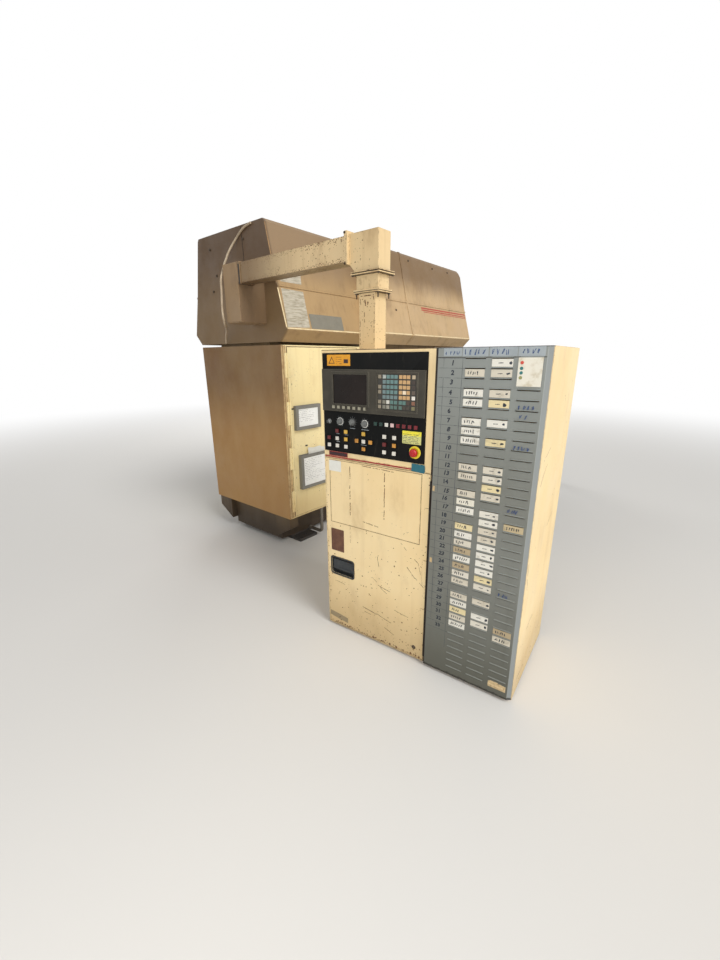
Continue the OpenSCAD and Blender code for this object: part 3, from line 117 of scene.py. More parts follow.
class Shade:
    """Builds one procedural material from noise, masks and mixes over object coordinates."""

    def __init__(self, name, metal=0.0, rough=0.5, spec=0.5, coat=0.0, local=None):
        self.mat = bpy.data.materials.new(name)
        self.mat.use_nodes = True
        self.tree = self.mat.node_tree
        self.bsdf = self.tree.nodes["Principled BSDF"]
        self.bsdf.inputs["Metallic"].default_value = metal
        self.bsdf.inputs["Roughness"].default_value = rough
        self.bsdf.inputs["Specular IOR Level"].default_value = spec
        self.bsdf.inputs["Coat Weight"].default_value = coat
        self.at = self.new("ShaderNodeTexCoord").outputs["Object"]
        self.seed = sum(map(ord, name)) % 97
        place = self.at
        if local:
            turn = self.new("ShaderNodeMapping", vector_type="TEXTURE")
            turn.inputs["Location"].default_value = local.to_translation()
            turn.inputs["Rotation"].default_value = local.to_euler()
            turn.inputs["Scale"].default_value = (0.001, 0.001, 0.001)
            self.feed(turn.inputs["Vector"], place)
            place = turn.outputs[0]
        split = self.new("ShaderNodeSeparateXYZ")
        self.feed(split.inputs[0], place)
        # metres along X, Y and Z, or with a local frame its millimetres along s, d and z
        self.x, self.y, self.z = self.s, self.d, self.z = split.outputs

    def new(self, kind, **settings):
        return new_node(self.tree, kind, **settings)

    def feed(self, socket, value):
        if isinstance(value, bpy.types.NodeSocket):
            self.tree.links.new(value, socket)
        else:
            socket.default_value = value

    def noise(self, scale, stretch=(1, 1, 1), detail=4.0):
        self.seed += 7
        m = self.new("ShaderNodeMapping")
        m.inputs["Scale"].default_value = stretch
        m.inputs["Location"].default_value = (self.seed * 1.37, self.seed * 0.71, self.seed * 0.93)
        self.feed(m.inputs["Vector"], self.at)
        n = self.new("ShaderNodeTexNoise")
        self.feed(n.inputs["Vector"], m.outputs[0])
        n.inputs["Scale"].default_value = scale
        n.inputs["Detail"].default_value = detail
        n.inputs["Roughness"].default_value = 0.6
        return n.outputs["Fac"]

    def step(self, value, low, high, a=0.0, b=1.0):
        """A smooth ramp: a where value is at low, b where it is at high."""
        m = self.new("ShaderNodeMapRange", interpolation_type="SMOOTHSTEP", clamp=True)
        for i, v in enumerate((value, low, high, a, b)):
            self.feed(m.inputs[i], v)
        return m.outputs[0]

    def calc(self, kind, a, b=0.0):
        m = self.new("ShaderNodeMath", operation=kind)
        self.feed(m.inputs[0], a)
        self.feed(m.inputs[1], b)
        return m.outputs[0]

    def mul(self, a, b):
        return self.calc("MULTIPLY", a, b)

    def mix(self, amount, a, b):
        m = self.new("ShaderNodeMix", data_type="RGBA")
        self.feed(m.inputs[0], amount)
        self.feed(m.inputs[6], lin(a) if isinstance(a, tuple) else a)
        self.feed(m.inputs[7], lin(b) if isinstance(b, tuple) else b)
        return m.outputs[2]

    def edge(self, radius):
        """1 along sharp edges, 0 on flat faces."""
        b = self.new("ShaderNodeBevel", samples=4)
        b.inputs["Radius"].default_value = radius
        dot = self.new("ShaderNodeVectorMath", operation="DOT_PRODUCT")
        self.feed(dot.inputs[0], b.outputs[0])
        self.feed(dot.inputs[1], self.new("ShaderNodeNewGeometry").outputs["Normal"])
        return self.step(dot.outputs["Value"], 0.995, 0.9)

    def within(self, value, low, high, soft=0.4):
        """1 between two values, with soft ends."""
        return self.mul(self.step(value, low - soft, low + soft), self.step(value, high + soft, high - soft))

    def disc(self, s, z, radius):
        """1 inside a circle on the console's front."""
        ds, dz = self.calc("SUBTRACT", self.s, float(s)), self.calc("SUBTRACT", self.z, float(z))
        r = self.calc("SQRT", self.calc("ADD", self.mul(ds, ds), self.mul(dz, dz)))
        return self.step(r, radius + 0.3, radius - 0.3)

    def bump(self, height, distance, strength):
        b = self.new("ShaderNodeBump")
        b.inputs["Strength"].default_value = strength
        b.inputs["Distance"].default_value = distance
        self.feed(b.inputs["Height"], height)
        self.feed(self.bsdf.inputs["Normal"], b.outputs[0])

    def lay(self, mask, tone):
        """Lays a tone over the colour where the mask is 1."""
        self.colour = self.mix(mask, self.colour, tone)

    def done(self, rough):
        self.feed(self.bsdf.inputs["Base Color"], self.colour)
        self.feed(self.bsdf.inputs["Roughness"], rough)
        return self.mat


def paint(name, base, faded, dirt, chip=(74, 52, 36), blotch=0.55, streak=0.4, speck=0.62,
          edge=0.7, low=None, end=None, top=None, local=None, extra=None):
    """Old sheet-metal paint: faded areas, hanging dirt streaks, small chips and worn edges.

    low is (height of full grime, height of none, amount, colour): grime low down, on the frame also painted shade;
    top is the same with none first: painted shade on the hoods' upper parts, a lighter tone on the louvred panel;
    end is (x of the end face, least and most cover, lower and upper colour, the heights between which they change):
    painted shade on the end faces, with some dirt.
    """
    m = Shade(name, local=local, spec=0.35)
    m.colour = m.mix(m.step(m.noise(1.7, detail=5), 0.38, 0.66), base, faded)
    m.lay(m.mul(m.step(m.noise(6.5, (1, 1, 0.5), 6), 0.5, 0.78), blotch), dirt)
    m.lay(m.mul(m.step(m.noise(26, (1, 1, 0.045), 3), 0.52, 0.8), streak), dirt)
    # grime low down; on the frame also painted shade
    if low:
        full, none, amount, tone = low
        height = m.calc("ADD", m.z, m.mul(m.noise(9), 0.1 * (none - full)))
        m.lay(m.mul(m.step(height, none, full), amount), tone)
    # painted shade on the hoods' upper parts; on the louvred panel a lighter tone
    if top:
        none, full, amount, tone = top
        span = full - none
        height = m.calc("ADD", m.z, m.mul(m.noise(5, (1, 1, 0.35), 5), 0.5 * span))
        m.lay(m.mul(m.step(height, none + 0.25 * span, full + 0.25 * span), amount), tone)
    # painted shade on the end faces, with some dirt
    if end:
        x, least, most, lower, upper, z0, z1 = end
        cover = m.mul(m.step(m.x, x + 0.03, x + 0.004),
                      m.step(m.noise(2.3, (1, 1, 0.6), 5), 0.1, 0.75, least, most))
        m.lay(cover, m.mix(m.step(m.z, z0, z1), lower, upper))
    spots = m.step(m.noise(85, detail=2), speck + 0.05, speck + 0.09)
    clump = m.step(m.noise(4.0, detail=3), 0.5, 0.7)
    m.lay(m.mul(m.mul(spots, clump), 0.8), chip)
    m.lay(m.mul(m.edge(0.004), m.step(m.noise(38, detail=3), 0.42, 0.6, 0.0, edge)), chip)
    if extra:
        extra(m)
    m.bump(m.calc("SUBTRACT", m.noise(320, detail=1), m.mul(spots, 2.0)), 0.0004, 0.35)
    return m.done(m.step(m.noise(5, detail=5), 0.3, 0.75, 0.4, 0.68))


def steel(name, base, dark, rough, grain, stain, rust=0.0, metal=0.9):
    """Machined or worn steel: brushed grain, stains and a little rust."""
    m = Shade(name, metal=metal)
    fine = m.noise(140, grain, 3)
    m.colour = m.mix(m.step(fine, 0.3, 0.7), base, tuple(int(v * 0.86) for v in base))
    m.lay(m.mul(m.step(m.noise(5, detail=6), 0.48, 0.72), stain), dark)
    if rust:
        m.lay(m.mul(m.step(m.noise(18, detail=6), 0.6, 0.7), rust), (104, 66, 38))
    m.bump(fine, 0.0002, 0.3)
    return m.done(m.step(m.noise(30, grain, 4), 0.3, 0.7, rough[0], rough[1]))


def plastic(name, base, dark, rough=(0.35, 0.5), scuff=0.35, coat=0.0, grit=0.0):
    """Moulded plastic: fine texture, rubbed and dusty places."""
    m = Shade(name, coat=coat)
    m.colour = m.mix(m.mul(m.step(m.noise(22, detail=5), 0.4, 0.7), scuff), base, dark)
    if grit:
        m.lay(m.mul(m.step(m.noise(150, detail=2), 0.62, 0.7), grit), dark)
    m.bump(m.noise(900, detail=1), 0.0001, 0.25)
    return m.done(m.step(m.noise(60, detail=3), 0.3, 0.7, rough[0], rough[1]))


def front_gap_shade(m):
    """Painted shade in the gap where the cream front meets the louvred panel, and a brown painted shadow along the
    top edge.
    """
    m.lay(m.mul(m.within(m.s, 610.3, 620.0), m.step(m.d, 1.0, 0.5)), (38, 29, 22))
    m.lay(m.mul(m.step(m.z, 1548.5, 1549.5), m.step(m.d, 1.0, 0.5)), (84, 62, 42))


def latch_rim(m):
    """The latch's black rim and cup, which are one piece with the door."""
    front_gap_shade(m)
    inside = m.mul(m.within(m.s, 23.5, 186.5), m.within(m.z, 340.5, 453.5))
    off_face = m.calc("MAXIMUM", m.step(m.d, -0.6, -1.2), m.step(m.d, 0.3, 0.8))
    black = m.mix(m.step(m.noise(60, detail=4), 0.45, 0.75), (42, 44, 46), (74, 74, 70))
    m.lay(m.mul(inside, off_face), black)


def louvre_wear_and_shade(m):
    """Painted highlights on the lips low down, painted shade in the slots and along the left edge; a pale slanted
    edge, a patch worn to cream, a dark foot.
    """
    # lips lighter low down: painted highlight
    m.lay(m.mul(m.step(m.d, -15.0, -16.5), m.step(m.z, 1300.0, 500.0, 0.1, 0.55)), (152, 156, 150))
    # slots dark: painted shade
    m.lay(m.step(m.d, -13.4, -12.2), (40, 40, 38))
    m.lay(m.mul(m.step(m.s, 1038.0, 1041.0), 0.6), (166, 171, 170))
    # dark left edge: painted shade in the gap
    m.lay(m.step(m.s, 626.6, 625.4), (38, 31, 26))
    ragged = m.calc("ADD", m.z, m.mul(m.noise(26, detail=3), 34.0))
    patch = m.mul(m.within(m.s, 951, 1031, 2.0), m.mul(m.step(m.z, 50.0, 53.0), m.step(ragged, 101.0, 98.0)))
    m.lay(patch, m.mix(m.step(m.noise(70, detail=4), 0.5, 0.7), (204, 180, 138), (168, 142, 104)))
    foot = m.step(m.calc("ADD", m.z, m.mul(m.noise(40, detail=4), 26.0)), 42.0, 36.0)
    m.lay(m.mul(foot, 0.85), (46, 42, 38))


def duct_seams_and_shade(m):
    """Dark packings between the bolted plates, dark rust and painted shade along the flanges' lower edges, brown
    stains between the flanges.
    """
    for z0, z1 in ((1.9253, 1.9301), (1.9172, 1.9188), (1.8386, 1.8412), (1.8312, 1.8328), (1.9343, 1.9356)):
        m.lay(m.mul(m.within(m.z, z0, z1, 0.0003), 0.92), (44, 32, 24))
    low_side = m.mul(m.within(m.z, 1.832, 1.934, 0.003), m.step(m.noise(34, detail=4), 0.5, 0.7, 0.0, 0.4))
    m.lay(low_side, (146, 112, 76))


def arm_age_and_shade(m):
    """Painted shade: the arm darker and browner towards the hood, with some dirt, darker underneath and in a strip
    where it meets the junction box; rusty along its edges.
    """
    # darker and browner towards the hood: painted shade with some dirt
    m.lay(m.step(m.y, -1.05, -0.42, 0.0, 0.85), (116, 92, 66))
    # darker underneath: painted shade
    m.lay(m.step(m.z, 1.9925, 1.9912, 0.0, 0.6), (92, 70, 48))
    # dark strip where the arm meets the junction box: painted shade
    m.lay(m.mul(m.within(m.y, -0.398, -0.384, 0.001), m.step(m.z, 2.108, 2.1)), (34, 27, 22))
    band = m.calc("MAXIMUM", m.step(m.z, 2.012, 1.996), m.step(m.z, 2.09, 2.108))
    speckle = m.step(m.noise(120, detail=3), 0.56, 0.62)
    m.lay(m.mul(m.mul(band, speckle), 0.75), (98, 68, 42))


def box_shade(m):
    """Painted shade on the junction box's near side under the arm."""
    m.lay(m.step(m.y, -0.374, -0.379, 0.0, 0.85), (112, 90, 66))


MAT = {}
END_X = -1.27  # the end face of the cabinet and of the rear hood, in row metres
CREAM, CREAM2, DIRT = (236, 209, 158), (240, 217, 170), (178, 146, 102)
FRONT = dict(low=(20.0, 440.0, 0.6, (172, 146, 104)), blotch=0.4, streak=0.13, local=CONSOLE)
MAT["console"] = paint("cream_console", CREAM, CREAM2, DIRT, extra=front_gap_shade, **FRONT)
MAT["door"] = paint("cream_door", CREAM, CREAM2, DIRT, extra=latch_rim, **FRONT)
# the cabinet: the console's cream in a lighter copy, painted light; its end face darker, painted shade with some
# dirt
MAT["cabinet"] = paint("cream_cabinet", (247, 230, 178), (242, 222, 166), (204, 170, 112), streak=0.22, blotch=0.3,
                       low=(0.28, 0.62, 0.4, (188, 148, 88)),
                       end=(END_X, 0.85, 1.0, (165, 122, 70), (122, 88, 53), 0.85, 1.4))
# the hoods: the cream in darker copies, painted shade with dust; their upper parts darker still and the rear hood's
# end face darkest, painted shade
MAT["hood"] = paint("cream_hood", (174, 144, 102), (184, 153, 110), (130, 102, 70), streak=0.35, blotch=0.45,
                    end=(END_X, 0.85, 1.0, (124, 101, 72), (98, 77, 57), 1.8, 2.3),
                    top=(1.97, 2.22, 0.9, (142, 118, 90)))
MAT["head"] = paint("cream_head_hood", (194, 164, 123), (200, 170, 128), (126, 100, 72), streak=0.35, blotch=0.5,
                    top=(2.02, 2.25, 0.9, (120, 95, 66)))
MAT["duct"] = paint("cream_duct", (218, 190, 144), (226, 200, 154), (150, 116, 76), blotch=0.5, streak=0.2,
                    speck=0.6, edge=0.95, extra=duct_seams_and_shade)
MAT["arm"] = paint("cream_arm", (222, 194, 149), (230, 205, 160), (142, 108, 70), blotch=0.6, streak=0.2,
                   speck=0.52, edge=0.95, extra=arm_age_and_shade)
# the junction box: darker than the cream, painted shade with dirt; its near side darker still, painted shade
MAT["box"] = paint("cream_box", (158, 131, 98), (148, 122, 90), (112, 86, 60), blotch=0.5, streak=0.4,
                   extra=box_shade)
# the frame: dark paint, darker still low down, grime and painted shade under the cabinet
MAT["frame"] = paint("frame_paint", (150, 126, 92), (140, 116, 82), (70, 58, 44), blotch=0.7, streak=0.5,
                     low=(0.1, 0.7, 0.9, (46, 38, 31)))
MAT["beam"] = paint("beam_paint", (224, 199, 152), (230, 207, 162), (190, 162, 118), blotch=0.2, streak=0.08)
MAT["motor"] = paint("motor_paint", (92, 99, 104), (84, 91, 96), (58, 58, 56), blotch=0.5, streak=0.2)
MAT["cylinder"] = paint("cylinder_paint", (116, 122, 124), (108, 114, 116), (70, 68, 64), blotch=0.5, streak=0.3)
MAT["boxes"] = paint("pocket_paint", (134, 132, 124), (126, 124, 116), (92, 88, 80), blotch=0.4, streak=0.2,
                     edge=0.5)
MAT["louvre"] = paint("louvre_paint", (117, 118, 111), (123, 125, 119), (98, 98, 90), chip=(78, 72, 64), blotch=0.4,
                      streak=0.3, speck=0.68, edge=0.3, low=(20.0, 620.0, 0.9, (88, 88, 78)),
                      top=(900.0, 1500.0, 0.5, (148, 154, 152)), local=CONSOLE, extra=louvre_wear_and_shade)
MAT["iron"] = paint("foot_iron", (58, 56, 54), (66, 62, 58), (44, 40, 36), chip=(96, 64, 40), blotch=0.5)
MAT["table"] = steel("table_steel", (168, 170, 172), (120, 116, 108), (0.3, 0.5), (0.08, 1, 1), 0.5, 0.12, 0.75)
MAT["turret"] = steel("turret_steel", (150, 152, 154), (98, 94, 88), (0.3, 0.5), (1, 1, 0.1), 0.5, 0.05)
MAT["tool"] = steel("tool_steel", (116, 116, 118), (70, 66, 62), (0.25, 0.45), (1, 1, 0.2), 0.4)
MAT["clamp"] = steel("clamp_steel", (138, 140, 142), (86, 84, 80), (0.3, 0.5), (0.2, 1, 1), 0.4, 0.1)
MAT["rod"] = steel("bright_rod", (206, 207, 208), (168, 168, 166), (0.1, 0.25), (1, 1, 0.05), 0.2, 0.0, 1.0)
MAT["pipe"] = steel("pipe_metal", (142, 136, 126), (96, 86, 72), (0.4, 0.6), (1, 1, 0.3), 0.6, 0.4, 0.7)
MAT["bolt"] = steel("bolt_steel", (92, 80, 66), (58, 46, 36), (0.4, 0.6), (1, 1, 1), 0.6, 0.5, 0.7)
PLASTICS = {  # name, colour, worn colour, least and most roughness, scuff, coat, grit
    "latch": ("latch_plastic", (38, 42, 46), (62, 66, 68), (0.35, 0.6), 0.5),
    "knob": ("knob_plastic", (112, 114, 112), (82, 84, 82), (0.3, 0.45), 0.5),
    "ink": ("marker_ink", (32, 37, 46), (50, 58, 70), (0.6, 0.75), 0.6),
    "rule": ("ruled_line", (58, 64, 70), (84, 90, 92), (0.6, 0.75), 0.8),
    "scratch": ("scratch", (86, 62, 42), (120, 92, 62), (0.7, 0.85), 0.7),
    "rust": ("rust", (98, 64, 40), (132, 96, 60), (0.75, 0.9), 0.8, 0.0, 0.5),
    "white": ("label_white", (226, 226, 218), (204, 200, 188), (0.45, 0.6), 0.4, 0.0, 0.2),
    # dark seams, and painted shade in the console's gaps
    "dark": ("seam_dark", (34, 27, 21), (48, 38, 30), (0.7, 0.85), 0.5),
    "cable": ("cable_grey", (188, 170, 144), (150, 130, 104), (0.45, 0.6), 0.6),
    "seam": ("seam_brown", (104, 78, 50), (134, 104, 68), (0.6, 0.8), 0.6),
    # painted highlight on the hoods' rolled edges
    "pale_edge": ("pale_edge", (240, 222, 178), (206, 176, 128), (0.45, 0.6), 0.7, 0.0, 0.6),
    "post_edge": ("post_edge", (202, 174, 128), (150, 118, 78), (0.45, 0.6), 0.9, 0.0, 0.7),
    "paper": ("bare_paper", (242, 243, 240), (222, 222, 214), (0.6, 0.75), 0.3),
    "brown_edge": ("brown_edge", (158, 124, 82), (122, 92, 58), (0.5, 0.7), 0.7),
    "blue_ink": ("blue_ink", (44, 66, 112), (70, 92, 130), (0.6, 0.75), 0.7),
    "teal_dot": ("teal_dot", (44, 112, 110), (34, 88, 86), (0.5, 0.65), 0.4),
    "olive_dot": ("olive_dot", (150, 150, 96), (120, 118, 76), (0.5, 0.65), 0.4),
    "signal": ("signal_red", (176, 12, 14), (128, 10, 12), (0.22, 0.35), 0.35, 0.3),
    "orange": ("sticker_orange", (226, 158, 36), (196, 130, 40), (0.35, 0.5), 0.4),
    "maroon": ("sticker_maroon", (46, 26, 28), (64, 36, 36), (0.35, 0.5), 0.5),
    "redline": ("red_line", (150, 34, 34), (118, 30, 30), (0.4, 0.55), 0.5),
    "teal": ("teal_tape", (32, 98, 112), (24, 76, 88), (0.5, 0.65), 0.5),
    "brown": ("brown_plate", (92, 60, 44), (122, 84, 60), (0.6, 0.75), 0.6, 0.0, 0.5),
    "tape": ("pale_tape", (158, 166, 170), (138, 146, 150), (0.5, 0.65), 0.6),
    "plate": ("grey_plate", (128, 123, 109), (112, 108, 95), (0.45, 0.6), 0.4),
    "stripe": ("red_stripe", (178, 74, 50), (150, 62, 44), (0.45, 0.6), 0.6),
}
for key, values in PLASTICS.items():
    MAT[key] = plastic(*values)
COLOURS = {"red": ((206, 62, 40), (150, 38, 26)), "dark_red": ((104, 34, 34), (70, 24, 26)),
           "yellow": ((216, 174, 74), (170, 132, 56)), "amber": ((200, 142, 62), (150, 100, 44)),
           "white": ((222, 218, 208), (176, 170, 158))}
for k, (a, b) in COLOURS.items():
    MAT["button_" + k] = plastic("button_" + k, a, b, (0.25, 0.4), 0.45, 0.2)

# the operator panel: near-black plate, silver dial rings, yellow stop ring, grey bezels
KNOBS = [(111, 1212), (186, 1214), (258, 1211)]
STOP = (530, 1105)
m = Shade("panel_plate", rough=0.5, spec=0.12, local=CONSOLE)
on_plate = m.step(m.d, -4.3, -4.9)
m.colour = m.mix(m.step(m.noise(7, detail=5), 0.4, 0.7), (13, 14, 14), (22, 21, 20))
m.lay(m.mul(m.step(m.noise(60, (1, 1, 0.2), 4), 0.6, 0.75), 0.25), (82, 76, 66))
for k, (s, z) in enumerate(KNOBS):
    ring = m.mul(m.disc(s, z, 19.6), m.step(m.disc(s, z, 15.5), 1.0, 0.0))
    m.lay(m.mul(ring, on_plate), (208, 208, 202) if k != 1 else (84, 84, 82))
m.lay(m.mul(m.disc(43, 1208, 12.4), on_plate), (120, 122, 120))
m.lay(m.mul(m.disc(*STOP, 29.5), on_plate), (222, 200, 62))
m.lay(m.mul(m.disc(*STOP, 22.5), m.step(m.d, -6.5, -7.5)), (196, 168, 44))
m.bump(m.noise(500, detail=1), 0.0001, 0.3)
MAT["panel"] = m.done(m.step(m.noise(9, detail=4), 0.35, 0.7, 0.45, 0.62))

# display housing: brownish dark grey, paler along its edges from rubbing and painted highlight; soft keys paler
m = Shade("display_housing", rough=0.55, spec=0.3, local=CONSOLE)
m.colour = m.mix(m.step(m.noise(12, detail=5), 0.4, 0.7), (58, 55, 47), (69, 65, 56))
# paler edges: painted highlight with rubbing
m.lay(m.mul(m.edge(0.0025), 0.8), (112, 106, 92))
soft_keys = m.mul(m.within(m.z, 1276, 1290), m.step(m.d, -15.5, -16.5))
m.lay(m.mul(soft_keys, m.within(m.s, 60, 270)), (150, 146, 128))
m.bump(m.noise(420, detail=2), 0.0002, 0.4)
MAT["display"] = m.done(0.5)

m = Shade("screen_face", rough=0.2, spec=0.3, local=CONSOLE)
m.colour = m.mix(m.step(m.noise(3, detail=3), 0.35, 0.7), (24, 19, 17), (34, 26, 23))
m.lay(m.mul(m.step(m.noise(45, detail=5), 0.58, 0.72), 0.3), (60, 54, 48))
MAT["screen"] = m.done(m.step(m.noise(14, detail=5), 0.35, 0.7, 0.08, 0.22))

# key sheet: blocks of keys in their own colours
m = Shade("key_sheet", rough=0.42, local=CONSOLE)
m.colour = m.mix(m.step(m.noise(40, detail=4), 0.4, 0.7), (58, 56, 50), (48, 46, 42))
raised = m.step(m.d, -13.2, -13.8)
KEY_BLOCKS = [  # s from and to, z from and to, colour
    (335, 362, 1290, 1446, (140, 130, 112)), (362, 442, 1334, 1446, (112, 132, 132)),
    (380, 442, 1356, 1446, (104, 134, 132)), (362, 380, 1423, 1446, (176, 182, 176)),
    (442, 506, 1334, 1446, (198, 160, 112)), (466, 484, 1356, 1378, (236, 218, 190)),
    (362, 380, 1290, 1330, (124, 122, 110)), (380, 402, 1290, 1312, (150, 146, 134)),
    (380, 402, 1312, 1334, (210, 208, 198)), (402, 484, 1312, 1334, (92, 124, 118)),
    (402, 464, 1290, 1312, (88, 112, 104)), (464, 506, 1290, 1312, (66, 60, 52)),
    (484, 506, 1312, 1334, (74, 62, 54)), (506, 532, 1423, 1446, (186, 170, 142)),
    (506, 532, 1378, 1423, (66, 56, 50)), (506, 532, 1356, 1378, (96, 84, 74)),
    (506, 532, 1334, 1356, (228, 222, 212)), (506, 532, 1312, 1334, (134, 94, 74)),
    (506, 532, 1290, 1312, (122, 116, 84)),
]
for s0, s1, z0, z1, tone in KEY_BLOCKS:
    m.lay(m.mul(m.mul(m.within(m.s, s0, s1), m.within(m.z, z0, z1)), raised), tone)
m.lay(m.mul(m.step(m.noise(90, detail=4), 0.55, 0.75), 0.4), (70, 62, 52))
m.bump(m.noise(600, detail=1), 0.0001, 0.3)
MAT["keys"] = m.done(m.step(m.noise(50), 0.3, 0.7, 0.35, 0.5))

m = Shade("lamp_lenses", rough=0.25, coat=0.5, local=CONSOLE)
m.colour = m.mix(m.step(m.noise(160, detail=3), 0.4, 0.7), (118, 26, 36), (88, 20, 28))
for s0, s1, tone in [(305, 334, (22, 58, 50)), (334, 364, (20, 50, 44)), (364, 395, (214, 212, 204)),
                     (395, 425, (216, 186, 184))]:
    m.lay(m.within(m.s, s0, s1), tone)
MAT["lamps"] = m.done(m.step(m.noise(70), 0.3, 0.7, 0.18, 0.32))

# label strips: paper and tape of different age in each slot, and the card in the third column
FIRST_ROW, ROW_PITCH = 1508, 38.1  # height of the louvred panel's first slot, and from slot to slot
FIRST_COLUMN, COLUMN_PITCH = 742, 103.5
NUMBERED = 33  # rows that carry a number
m = Shade("label_strips", rough=0.6, local=CONSOLE)
cell = m.new("ShaderNodeTexWhiteNoise", noise_dimensions="2D")
where = m.new("ShaderNodeCombineXYZ")
for i, along, start, pitch in ((0, m.s, FIRST_COLUMN - 4.0, COLUMN_PITCH), (1, m.z, FIRST_ROW + 4.0, ROW_PITCH)):
    m.feed(where.inputs[i], m.calc("FLOOR", m.calc("DIVIDE", m.calc("SUBTRACT", along, start), pitch)))
m.feed(cell.inputs["Vector"], where.outputs[0])
pick = cell.outputs["Value"]
m.colour = m.mix(m.step(pick, 0.2, 0.45), (207, 199, 181), (224, 221, 210))
m.lay(m.step(pick, 0.72, 0.8), (222, 206, 160))
m.lay(m.step(pick, 0.88, 0.93), (176, 158, 126))
m.lay(m.mul(m.step(m.noise(30, detail=6), 0.5, 0.75), 0.55), (136, 124, 100))
card = m.mul(m.step(m.s, 938.0, 940.0), m.step(m.z, 1400.0, 1402.0))
m.lay(card, m.mix(m.step(m.noise(24, detail=5), 0.45, 0.7), (226, 221, 206), (200, 190, 166)))
MAT["card"] = m.done(0.62)

# instruction label: yellow head, pale rest, left bare
m = Shade("bare_label", rough=0.45, local=CONSOLE)
m.colour = m.mix(m.step(m.z, 1178.5, 1179.5), (206, 204, 128), (232, 220, 60))
m.lay(m.mul(m.step(m.noise(55, (1, 1, 2), 5), 0.5, 0.7), 0.5), (120, 122, 92))
MAT["notice"] = m.done(0.45)

m = Shade("faded_placard", rough=0.6)
m.colour = m.mix(m.step(m.noise(16, (1, 1, 7), 4), 0.35, 0.7), (198, 190, 172), (158, 148, 126))
m.lay(m.mul(m.step(m.noise(9, detail=5), 0.5, 0.75), 0.5), (128, 116, 96))
MAT["faded"] = m.done(0.6)
MAT["worn"] = paint("worn_cream", (206, 180, 136), (196, 168, 124), (150, 122, 84), blotch=0.7, speck=0.55)
MAT["bare"] = paint("worn_band", (150, 134, 104), (134, 118, 92), (104, 88, 66), blotch=0.7, speck=0.5)

# look and width in millimetres of the softened edges, for each node of the frame
NODE_LOOKS = {
    "c_frame": ("frame", 3.0), "levelling_feet": ("iron", 2.0), "rear_hood": ("hood", 2.0),
    "head_hood": ("head", 2.0), "rear_cabinet": ("cabinet", 1.2), "cabinet_door": ("cabinet", 1.2),
    "document_boxes": ("boxes", 1.2), "junction_box": ("box", 1.5), "cable_arm": ("arm", 1.2),
    "duct_elbow": ("duct", 1.5), "duct_collar": ("duct", 1.2), "riser_duct": ("duct", 1.2),
    "air_pipe": ("pipe", 0.0), "upper_turret": ("turret", 1.5), "lower_turret": ("turret", 1.5),
    "punch_tools": ("tool", 0.8), "die_tools": ("tool", 0.6), "ram_cylinder": ("cylinder", 1.5),
    "ram": ("rod", 1.0), "turret_motors": ("motor", 2.0), "work_table": ("table", 1.2),
    "cross_beam": ("beam", 3.0), "carriage": ("motor", 1.5), "work_clamps": ("clamp", 1.5),
    "clamp_jaw_1": ("clamp", 1.5), "clamp_jaw_2": ("clamp", 1.5), "console_cabinet": ("console", 1.2),
    "console_door": ("door", 1.0), "door_latch": ("latch", 1.2), "operator_panel": ("panel", 0.5),
    "display_unit": ("display", 1.2), "display_screen": ("screen", 0.5), "key_sheet": ("keys", 0.9),
    "indicator_lamps": ("lamps", 0.8), "louvre_panel": ("louvre", 0.3), "tool_labels": ("card", 0.2),
    "stop_button": ("signal", 1.0), "key_switch": ("rod", 0.6), "knob_1": ("knob", 0.8), "knob_2": ("knob", 0.8),
    "knob_3": ("knob", 0.8),
}
BUTTON_COLOURS = ("dark_red yellow dark_red white yellow white white white yellow amber "
                  "white amber amber white white dark_red amber white white").split()
for i, k in enumerate(BUTTON_COLOURS, 1):
    NODE_LOOKS["button_%d" % i] = ("button_" + k, 1.5)
WELD_DISTANCE, SHARP = 2e-5, math.radians(34)


def round_edges(obj, width, weld=True):
    """Softens the sharp edges with modifiers alone."""
    if weld:
        obj.modifiers.new("weld", "WELD").merge_threshold = WELD_DISTANCE
    if width:
        b = obj.modifiers.new("edges", "BEVEL")
        b.width = width / 1000
        b.segments = 2
        b.limit_method = "ANGLE"
        b.angle_limit = SHARP
        b.harden_normals = True


for name, (look, width) in NODE_LOOKS.items():
    obj = NODES[name]
    obj.data.materials.clear()
    obj.data.materials.append(MAT[look])
    round_edges(obj, width)


# ---------------------------------------------------------------- small pieces
rng = random.Random(11)  # one generator for all marks
UNBROKEN = 1.1  # fill of a line without gaps


